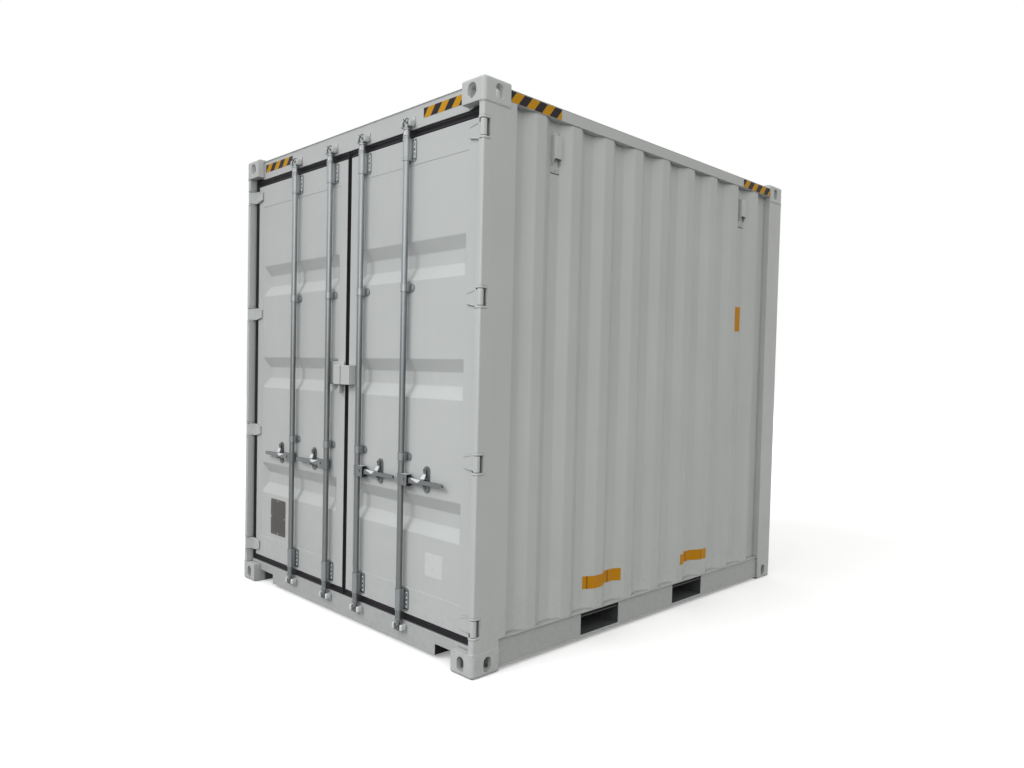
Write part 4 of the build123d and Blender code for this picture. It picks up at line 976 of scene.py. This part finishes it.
def vent(bm, side, middle):
    """A pressed hood with a slanted open foot, its riveted flange above and tab below, and a dark strip under
    the tab as a painted shadow.
    """
    back, front = RECESS + VENT_WALL, RECESS + VENT_DEPTH
    wide, narrow = VENT_HALF_BACK, VENT_HALF_FRONT
    top, ledge = VENT_TOP, VENT_TOP - VENT_LEDGE
    low, lip = VENT_BASE, VENT_BASE + VENT_SLANT
    places = ((back, -wide, top), (front, -narrow, ledge), (front, narrow, ledge), (back, wide, top),
              (back, -wide, low), (front, -narrow, lip), (front, narrow, lip), (back, wide, low))
    a, b, c, d, e, f, g, h = [bm.verts.new((side * out, middle + across, up)) for out, across, up in places]
    hood = [bm.faces.new(corners) for corners in ((a, b, c, d), (a, e, f, b), (b, f, g, c), (c, g, h, d))]
    bmesh.ops.recalc_face_normals(bm, faces=hood)
    bends = dict.fromkeys(edge for face in hood for edge in face.edges if len(edge.link_faces) == 2)
    made = bevel(bm, list(bends), VENT_BEND, 3)
    faces = list(dict.fromkeys(face for vert in made["verts"] for face in vert.link_faces))
    bmesh.ops.recalc_face_normals(bm, faces=faces)
    if sum(side * face.normal.x * face.calc_area() for face in faces) < 0:
        bmesh.ops.reverse_faces(bm, faces=faces)
    bmesh.ops.solidify(bm, geom=faces, thickness=VENT_WALL)
    where = on_side(side, 0, 0, RECESS)
    width = (middle - VENT_HALF_FLANGE, middle + VENT_HALF_FLANGE)
    foot = low - VENT_TAB
    slab(bm, rounded(width, (foot, top + VENT_FLANGE), VENT_CORNER), VENT_WALL, where, VENT_EDGE)
    # A strip of dark coating under the tab: a painted shadow line
    slab(bm, rounded(width, (foot - VENT_SHADOW_STRIP, foot), VENT_SHADOW_STRIP_CORNER, 2), VENT_WALL, where, 0, 1)
    for across, up in VENT_RIVETS:
        where = on_side(side, middle + across, low + up, RECESS + VENT_WALL)
        dome(bm, where, RIVET_RADIUS, RIVET_HEIGHT, 2)


def vents():
    bm = bmesh.new()
    for side in (1, -1):
        for middle in VENT_MIDDLES:
            vent(bm, side, middle)
    stand_in("side_vents", bm, "paint", "underframe", "galvanised")


# Base of each keeper's plate, base of its lugs and the lugs' material
KEEPER_LEVELS = ((2.780, 2.774, 0), (0.0735, 0.0885, 1))
KEEPER_HALF_WIDTH = 0.043
KEEPER_HEIGHT = 0.050
KEEPER_THICKNESS, KEEPER_CORNER, KEEPER_EDGE = 0.004, 0.006, 0.0012
KEEPER_LUG = 0.0175
KEEPER_LUG_HEIGHT = 0.035
KEEPER_LUG_DEPTH = (0.0065, HEADER_SEAT - 0.002)
KEEPER_LUG_EDGE = 0.0082


def keepers():
    """Keepers on header and sill: a plate with a rounded bulb each side of the cam."""
    bm = bmesh.new()
    half = KEEPER_HALF_WIDTH
    for x in [side * position for position in BAR_POSITIONS for side in (1, -1)]:
        for base, low, material in KEEPER_LEVELS:
            outline = rounded((x - half, x + half), (base, base + KEEPER_HEIGHT), KEEPER_CORNER)
            slab(bm, outline, KEEPER_THICKNESS, on_door(0, 0, HEADER_SEAT), KEEPER_EDGE)
            for edge in (1, -1):
                block(bm, x, edge, low, (half, half - KEEPER_LUG), KEEPER_LUG_DEPTH, (0, KEEPER_LUG_HEIGHT),
                      KEEPER_LUG_EDGE, material, 4)
    piece = add_piece("cam_keepers_shape", bm, "root", "galvanised", "paint", "painted_highlight")
    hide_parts("cam_keepers")


PLATE_ROWS = 16
PLATE_ROW_PITCH, PLATE_ROW_HEIGHT, PLATE_ROW_WIDTH = 0.0128, 0.0055, 0.150
PLATE_ROW_CORNER, PLATE_ROW_RELIEF = 0.001, 0.0006
PLATE_FOOT = 0.022
PLATE_THICKNESS, PLATE_CORNER, PLATE_EDGE = 0.002, 0.012, 0.0006
PLATE_RIVET, PLATE_RIVET_HEIGHT, PLATE_RIVET_INSET = 0.0045, 0.0009, 0.009


def data_plate():
    """A blank metal plate with ruled rows and a rivet in the middle of each edge."""
    low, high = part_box("data_plate")
    seat = high.y - FRONT
    face = seat - PLATE_THICKNESS
    middle, height = (low.x + high.x) / 2, (low.z + high.z) / 2
    bm = bmesh.new()
    outline = rounded((low.x, high.x), (low.z, high.z), PLATE_CORNER)
    slab(bm, outline, PLATE_THICKNESS, on_door(0, 0, seat), PLATE_EDGE)
    across = (middle - PLATE_ROW_WIDTH / 2, middle + PLATE_ROW_WIDTH / 2)
    for row in range(PLATE_ROWS):
        base = low.z + PLATE_FOOT + PLATE_ROW_PITCH * row
        outline = rounded(across, (base, base + PLATE_ROW_HEIGHT), PLATE_ROW_CORNER, 2)
        slab(bm, outline, PLATE_ROW_RELIEF, on_door(0, 0, face), 0, 1)
    inset = PLATE_RIVET_INSET
    # Rivet heads in pale zinc: painted glints
    for x, z in ((low.x + inset, height), (high.x - inset, height), (middle, low.z + inset),
                 (middle, high.z - inset)):
        dome(bm, on_door(x, z, face), PLATE_RIVET, PLATE_RIVET_HEIGHT, 2)
    stand_in("data_plate", bm, "plate", "underframe", "painted_highlight")


FLOOR_SEAMS = (-0.470, 0.480)
FLOOR_GAP = 0.0015
FLOOR_NOTCH = (1.118, 1.395)
BOARD_EDGE = 0.0012
SCREW_COLUMNS = (0.040, 0.310, 0.590, 0.870, 1.135)
SCREW_ROWS = 10
SCREW_MARGIN, SCREW_NOTCH_MARGIN = 0.045, 0.020
FLOOR_SCREW, FLOOR_SCREW_HEIGHT = 0.0065, 0.0004


def floor_boards():
    """Six plywood boards with narrow seams and rows of screws into the cross members."""
    bm = bmesh.new()
    low, high = FLOOR
    notch_x, notch_y = FLOOR_NOTCH
    foot, surface = Matrix.Translation((0, 0, low.z)), Matrix.Translation((0, 0, high.z))
    ends = (low.y, *FLOOR_SEAMS, high.y)
    for side in (1, -1):
        for start, end in zip(ends, ends[1:]):
            near, far = start + FLOOR_GAP, end - FLOOR_GAP
            outline = [(FLOOR_GAP, near), (high.x, near), (high.x, far), (FLOOR_GAP, far)]
            if end == high.y:
                outline[2:3] = [(high.x, notch_y), (notch_x, notch_y), (notch_x, far)]
            slab(bm, [(side * x, y) for x, y in outline], high.z - low.z, foot, BOARD_EDGE)
        for row in range(SCREW_ROWS):
            share = row / (SCREW_ROWS - 1)
            y = low.y + SCREW_MARGIN + (high.y - low.y - 2 * SCREW_MARGIN) * share
            for x in SCREW_COLUMNS:
                x = min(x, notch_x - SCREW_NOTCH_MARGIN) if share == 1 else x
                slab(bm, circle(side * x, y, FLOOR_SCREW, 12), FLOOR_SCREW_HEIGHT, surface, 0, 1)
    piece = add_piece("floor_boards", bm, "root", SLOTS["floor"], "plywood", "galvanised")
    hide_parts("floor")


def fittings():
    data_plate()
    floor_boards()
    guides()
    keepers()
    vents()
    retainers()
    for number in (1, 2, 3, 4):
        bar(number)
        handle(number)
        catch(number)


SEAL_SECTION = (
    (0.00, 0.000), (0.10, -0.004), (0.26, -0.002), (0.34, 0.004), (0.50, 0.006), (0.62, 0.003),
    (0.74, -0.003), (0.88, -0.004), (1.00, 0.002), (1.00, 0.024), (0.50, 0.026), (0.00, 0.024),
)
SEAL_SUNK = 0.004
SEAL_FOOT_THICKNESS, SEAL_FOOT_DEPTH, SEAL_FOOT_EDGE = 0.020, 0.022, 0.001
SEAL_FOOT_OVERLAP, SEAL_GAP = 0.003, 0.001


def seal(side):
    """The door's rubber seal, one moulded section swept round the frame with mitred corners."""
    inner = (DOOR[0].x, DOOR[1].x, DOOR[0].z, DOOR[1].z)
    edge = GASKET[1].x + POST_SET_BACK
    outer = (GASKET[0].x, edge, GASKET[0].z, GASKET[1].z)
    bm = bmesh.new()
    rings = []
    for share, depth in SEAL_SECTION:
        x0, x1, z0, z1 = [a + (b - a) * share for a, b in zip(inner, outer)]
        y = max(GASKET[0].y, GASKET[0].y + SEAL_SUNK + depth)
        rings.append([bm.verts.new((side * x, y, z)) for x, z in ((x0, z0), (x1, z0), (x1, z1), (x0, z1))])
    join_rings(bm, rings + rings[:1], False)
    base, top = GASKET[1].z - SEAL_FOOT_OVERLAP, TOP_CASTING_BASE - SEAL_GAP
    step = [(CASTING_INNER, base), (CASTING_INNER + FOOT_TAPER, top), (edge, top), (edge, base)]
    where = on_door(0, 0, GASKET[0].y - FRONT + SEAL_FOOT_DEPTH)
    slab(bm, [(side * x, z) for x, z in step], SEAL_FOOT_THICKNESS, where, SEAL_FOOT_EDGE)
    name = "right" if side > 0 else "left"
    piece = add_piece(f"door_seal_{name}", bm, BODIES[f"door_gasket_{name}"], "rubber")
    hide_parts(f"door_gasket_{name}")


WELD_RADIUS = 0.0042
WELD_SWELL = 1.2
RAIL_WELD_RADIUS = 0.0025
# Upright beads beside header and sill: behind their face, and how long
SEAM_DEPTH, SEAM_LENGTH, SILL_SEAM_DROP = 0.001, 0.012, 0.001
CASTING_SEAM_FORWARD = 0.0005
CASTING_SEAM_FOOT, CASTING_SEAM_HEAD = 0.006, 0.01
HINGE_LEVELS = (0.247, 1.049, 1.851, 2.653)
# The plate in each hinge's notch: across, depth and height
HINGE_POCKET = ((1.1805, 1.2145), (0.046, 0.0505), (-0.0535, 0.0535))
BLADE_TAIL_X, BLADE_ROOT_X = 1.077, 1.133
BLADE_TIP_HALF, BLADE_HALF = 0.0245, 0.036
BLADE_THICKNESS = 0.010
BLADE_BEAD = 0.0028


def hinge_welds():
    """The plate that closes each hinge's notch, and weld beads along the blades' edges."""
    pockets = bmesh.new()
    face = DOOR[0].y - BLADE_THICKNESS
    for side, word in SIDES:
        beads = bmesh.new()
        for middle in HINGE_LEVELS:
            block(pockets, 0, side, middle, *HINGE_POCKET)
            for up in (1, -1):
                tail = (side * BLADE_TAIL_X, face, middle + up * BLADE_TIP_HALF)
                root = (side * BLADE_ROOT_X, face, middle + up * BLADE_HALF)
                bead(beads, tail, root, BLADE_BEAD)
        add_piece(f"hinge_beads_{word}", beads, f"door_{word}", "paint")
    add_piece("hinge_pockets", pockets, "root", "paint")


def welds():
    """Weld beads where posts meet castings, header and sill, where the header meets the upper castings, and
    where the side walls meet the posts.
    """
    bm = bmesh.new()
    post_low, post_high = POST
    ledge = WELD_RADIUS / 2
    proud = HALF_WIDTH - post_high.x - WELD_RADIUS * WELD_SWELL
    seam, corner = HEADER_FACE + SEAM_DEPTH, HEADER_FACE - CASTING_SEAM_FORWARD
    for side in (1, -1):
        outer, inner = side * (post_high.x + proud), side * POST_INNER
        for mirror_y in (1, -1):
            front = mirror_y * (post_low.y - proud)
            back = mirror_y * (FRONT + CASTING_LENGTH)
            for z in (LOW_CASTING_TOP + ledge, TOP_CASTING_BASE - ledge):
                bead(bm, (outer, front, z), (inner, front, z), WELD_RADIUS)
                bead(bm, (outer, front, z), (outer, back, z), WELD_RADIUS)
        for z in (SILL[1].z - SILL_SEAM_DROP, HEADER[0].z):
            bead(bm, (inner, seam, z - SEAM_LENGTH), (inner, seam, z), RAIL_WELD_RADIUS)
        x = side * (WALL[1].x - CORRUGATION_DEPTH)
        for y in (WALL[0].y, WALL[1].y):
            bead(bm, (x, y, WALL[0].z), (x, y, WALL[1].z), RAIL_WELD_RADIUS)
        edge = side * CASTING_INNER
        low, high = TOP_CASTING_BASE + CASTING_SEAM_FOOT, HEADER[1].z - CASTING_SEAM_HEAD
        bead(bm, (edge, corner, low), (edge, corner, high), RAIL_WELD_RADIUS)
    add_piece("weld_beads", bm, "root", "paint")
    hinge_welds()


FILM = 0.0012
FILM_STEP = 0.008
RAIL_FILM_SHARE = 0.5
STRIPE_PERIOD = 0.112
STRIPE_LEAN = 0.8


def clip(points, low, high):
    """A convex polygon of (along, up) points cut to low..high along."""
    for limit, keep in ((low, 1), (high, -1)):
        kept = []
        for k, a in enumerate(points):
            b = points[(k + 1) % len(points)]
            inside_a, inside_b = keep * (a[0] - limit) >= 0, keep * (b[0] - limit) >= 0
            if inside_a:
                kept.append(a)
            if inside_a != inside_b:
                share = (limit - a[0]) / (b[0] - a[0])
                kept.append((limit, a[1] + (b[1] - a[1]) * share))
        points = kept
        if len(points) < 3:
            return []
    return points


def striped_film(name, start, end, base, top, lay):
    """Diagonal yellow and black stripes on a thin film; lay turns (along, up) into a point and a normal."""
    bm = bmesh.new()
    lean = (top - base) * STRIPE_LEAN
    half = STRIPE_PERIOD / 2
    count = int((end - start) / half) + 2
    for k in range(-1, count):
        foot = start + k * half
        outline = clip([(foot, base), (foot + half, base), (foot + half + lean, top), (foot + lean, top)],
                       start, end)
        if not outline:
            continue
        film_patch(bm, outline, lay, k % 2)
    return add_piece(name, bm, "root", "paint", "yellow", "black")


def film_patch(bm, outline, lay, material=0):
    """One flat patch of film, FILM thick, on the surface that lay gives."""
    low, high = [], []
    for along, up in outline:
        point, normal = lay(along, up)
        low.append(bm.verts.new(point))
        high.append(bm.verts.new(point + normal * FILM))
    faces = [bm.faces.new(high)]
    faces += join_rings(bm, (low, high), False)
    faces.append(bm.faces.new(low[::-1]))
    for face in faces:
        face.material_index = material


HEADER_STRIPES = (0.702, 1.054, 2.807, 2.857)
HEADER_STRIPES_LEFT = (-1.032, -0.675)
RAIL_STRIPE_REACH = 0.375
RAIL_STRIPE_MARGIN = 0.003


def on_front(face):
    """Places and normals on an upright face towards the front."""
    return lambda x, z: (Vector((x, face, z)), Vector((0, -1, 0)))


def on_top_rail(side):
    """Places on a top side rail, with a short normal for a thinner film."""
    return lambda y, z: (Vector((side * TOP_RAIL[1].x, y, z)), Vector((side * RAIL_FILM_SHARE, 0, 0)))


def hazard_stripes():
    start, end, base, top = HEADER_STRIPES
    on_header = on_front(HEADER_FACE)
    striped_film("stripes_header_right", start, end, base, top, on_header)
    striped_film("stripes_header_left", *HEADER_STRIPES_LEFT, base, top, on_header)
    low, high = TOP_RAIL
    base, top = low.z + RAIL_STRIPE_MARGIN, high.z - RAIL_STRIPE_MARGIN
    for side, word in SIDES:
        rail = on_top_rail(side)
        striped_film(f"stripes_rail_front_{word}", low.y, low.y + RAIL_STRIPE_REACH, base, top, rail)
        striped_film(f"stripes_rail_back_{word}", high.y - RAIL_STRIPE_REACH, high.y, base, top, rail)


def wall_profile(y):
    """How far out the right wall's face stands at y, and its slope there."""
    start = WALL[0].y + FIRST_PLATEAU
    along = (y - start + CORRUGATION_SLOPE) % CORRUGATION_PITCH
    steep = CORRUGATION_DEPTH / CORRUGATION_SLOPE
    plateau = CORRUGATION_SLOPE + CORRUGATION_PLATEAU
    out = WALL[1].x
    if along < CORRUGATION_SLOPE:
        return out - (CORRUGATION_SLOPE - along) * steep, steep
    if along < plateau:
        return out, 0.0
    if along < plateau + CORRUGATION_SLOPE:
        return out - (along - plateau) * steep, -steep
    return out - CORRUGATION_DEPTH, 0.0


def on_wall(y, z):
    x, slope = wall_profile(y)
    return Vector((x, y, z)), Vector((1, -slope, 0)).normalized()


# Orange films on the right wall, along it and up
WALL_FILMS = (
    ("tape_front", (-0.633, -0.312), (0.280, 0.352)),
    ("tape_back", (0.300, 0.614), (0.270, 0.338)),
    ("notice_side", (0.952, 1.018), (1.815, 1.985)),
)
DOOR_NOTICE = ((0.775, 0.418), (0.920, 0.418), (0.920, 0.541), (0.775, 0.541))


def wall_film(name, along, up):
    """An orange film that follows the corrugations."""
    (start, end), (base, top) = along, up
    bm = bmesh.new()
    count = max(2, int((end - start) / FILM_STEP))
    places = [start + (end - start) * k / count for k in range(count + 1)]
    for a, b in zip(places, places[1:]):
        film_patch(bm, [(a, base), (b, base), (b, top), (a, top)], on_wall)
    bmesh.ops.remove_doubles(bm, verts=bm.verts, dist=1e-5)
    add_piece(name, bm, "root", "paint", "orange")


def films():
    """Plain films: two orange tapes over the fork pockets, a notice high up and one on the door."""
    for name, along, up in WALL_FILMS:
        wall_film(name, along, up)
    bm = bmesh.new()
    film_patch(bm, DOOR_NOTICE, on_front(PANEL_FACE))
    add_piece("notice_door", bm, "door_right", "paint", "white")


def make_camera():
    data = bpy.data.cameras.new("camera")
    data.sensor_width = SENSOR_MM
    data.lens = FOCAL_PIXELS / IMAGE_WIDTH * SENSOR_MM
    data.shift_x = (IMAGE_WIDTH / 2 - PRINCIPAL_POINT[0]) / IMAGE_WIDTH
    data.shift_y = (PRINCIPAL_POINT[1] - IMAGE_HEIGHT / 2) / IMAGE_WIDTH
    camera = bpy.data.objects.new("camera", data)
    bpy.context.scene.collection.objects.link(camera)
    back = -Vector(CAMERA_VIEW).normalized()
    right = Vector(CAMERA_RIGHT).normalized()
    turn = Matrix((right, back.cross(right), back)).transposed()
    camera.matrix_world = Matrix.Translation(CAMERA_PLACE) @ turn.to_4x4()
    bpy.context.scene.camera = camera


def seen_directly(tree):
    """1 for rays from the camera or off a mirror-like surface, 0 for the rest."""
    path = node(tree, "ShaderNodeLightPath")
    shiny = node(tree, "ShaderNodeMath", operation="MAXIMUM", i0=path.outputs["Is Camera Ray"],
                 i1=path.outputs["Is Glossy Ray"])
    return node(tree, "ShaderNodeMath", operation="MAXIMUM", i0=shiny.outputs[0],
                i1=path.outputs["Is Transmission Ray"]).outputs[0]


def make_world():
    """A sky that is brightest overhead, and white where it is seen directly."""
    world = bpy.data.worlds.new("studio")
    bpy.context.scene.world = world
    world.use_nodes = True
    tree = world.node_tree
    direction = node(tree, "ShaderNodeTexCoord").outputs["Generated"]
    up = node(tree, "ShaderNodeSeparateXYZ", Vector=direction).outputs["Z"]
    sky = span(tree, up, 0.0, 1.0, HORIZON_STRENGTH, ZENITH_STRENGTH)
    strength = node(tree, "ShaderNodeMix", data_type="FLOAT", i0=seen_directly(tree), i2=sky, i3=1.0)
    tree.links.new(strength.outputs[0], tree.nodes["Background"].inputs["Strength"])
    tree.nodes["Background"].inputs["Color"].default_value = (1, 1, 1, 1)


def make_lamp(kind, name, strength, direction, colour=(1, 1, 1)):
    """A lamp of this kind that shines along its direction."""
    light = bpy.data.lights.new(name, kind)
    light.energy = strength
    light.color = colour
    lamp = bpy.data.objects.new(name, light)
    lamp.rotation_euler = direction.to_track_quat("-Z", "Y").to_euler()
    bpy.context.scene.collection.objects.link(lamp)
    return lamp


def make_lamps():
    """The sun, a wide one that fills its shadows, and a large soft lamp before the right-hand door."""
    make_lamp("SUN", "sun", SUN_STRENGTH, Vector(SUN_DIRECTION)).data.angle = SUN_ANGLE
    make_lamp("SUN", "fill", FILL_STRENGTH, Vector(FILL_DIRECTION), FILL_COLOUR).data.angle = FILL_ANGLE
    place = Vector(PANEL_PLACE)
    panel = make_lamp("AREA", "soft_panel", PANEL_POWER, Vector(PANEL_AIM) - place, PANEL_COLOUR)
    panel.data.size = PANEL_SIZE
    panel.location = place


def make_floor():
    """A white floor that fades into the white background and keeps the shadow."""
    mesh = bpy.data.meshes.new("floor_stage")
    half = FLOOR_SIZE / 2
    corners = [(-half, -half, 0), (half, -half, 0), (half, half, 0), (-half, half, 0)]
    mesh.from_pydata(corners, [], [(0, 1, 2, 3)])
    floor = bpy.data.objects.new("floor_stage", mesh)
    bpy.context.scene.collection.objects.link(floor)
    material, tree, shader = principled("floor_white", (FLOOR_SEEN_ALBEDO,) * 3, 0.9)
    shader.inputs["Specular IOR Level"].default_value = 0.0
    shader.inputs["Emission Color"].default_value = (1, 1, 1, 1)
    seen = seen_directly(tree)
    albedo = mix(tree, seen, (FLOOR_BOUNCE_ALBEDO,) * 3, (FLOOR_SEEN_ALBEDO,) * 3)
    tree.links.new(albedo, shader.inputs["Base Color"])
    tree.links.new(span(tree, seen, 0.0, 1.0, 0.0, FLOOR_LIFT), shader.inputs["Emission Strength"])
    mesh.materials.append(material)


give_cad_nodes_their_materials()
make_camera()
make_world()
make_lamps()
make_floor()
round_the_frame()
round_the_sheets()
round_the_fittings()
fittings()
seal(1)
seal(-1)
welds()
hazard_stripes()
films()
bpy.context.scene.view_settings.view_transform = "Standard"
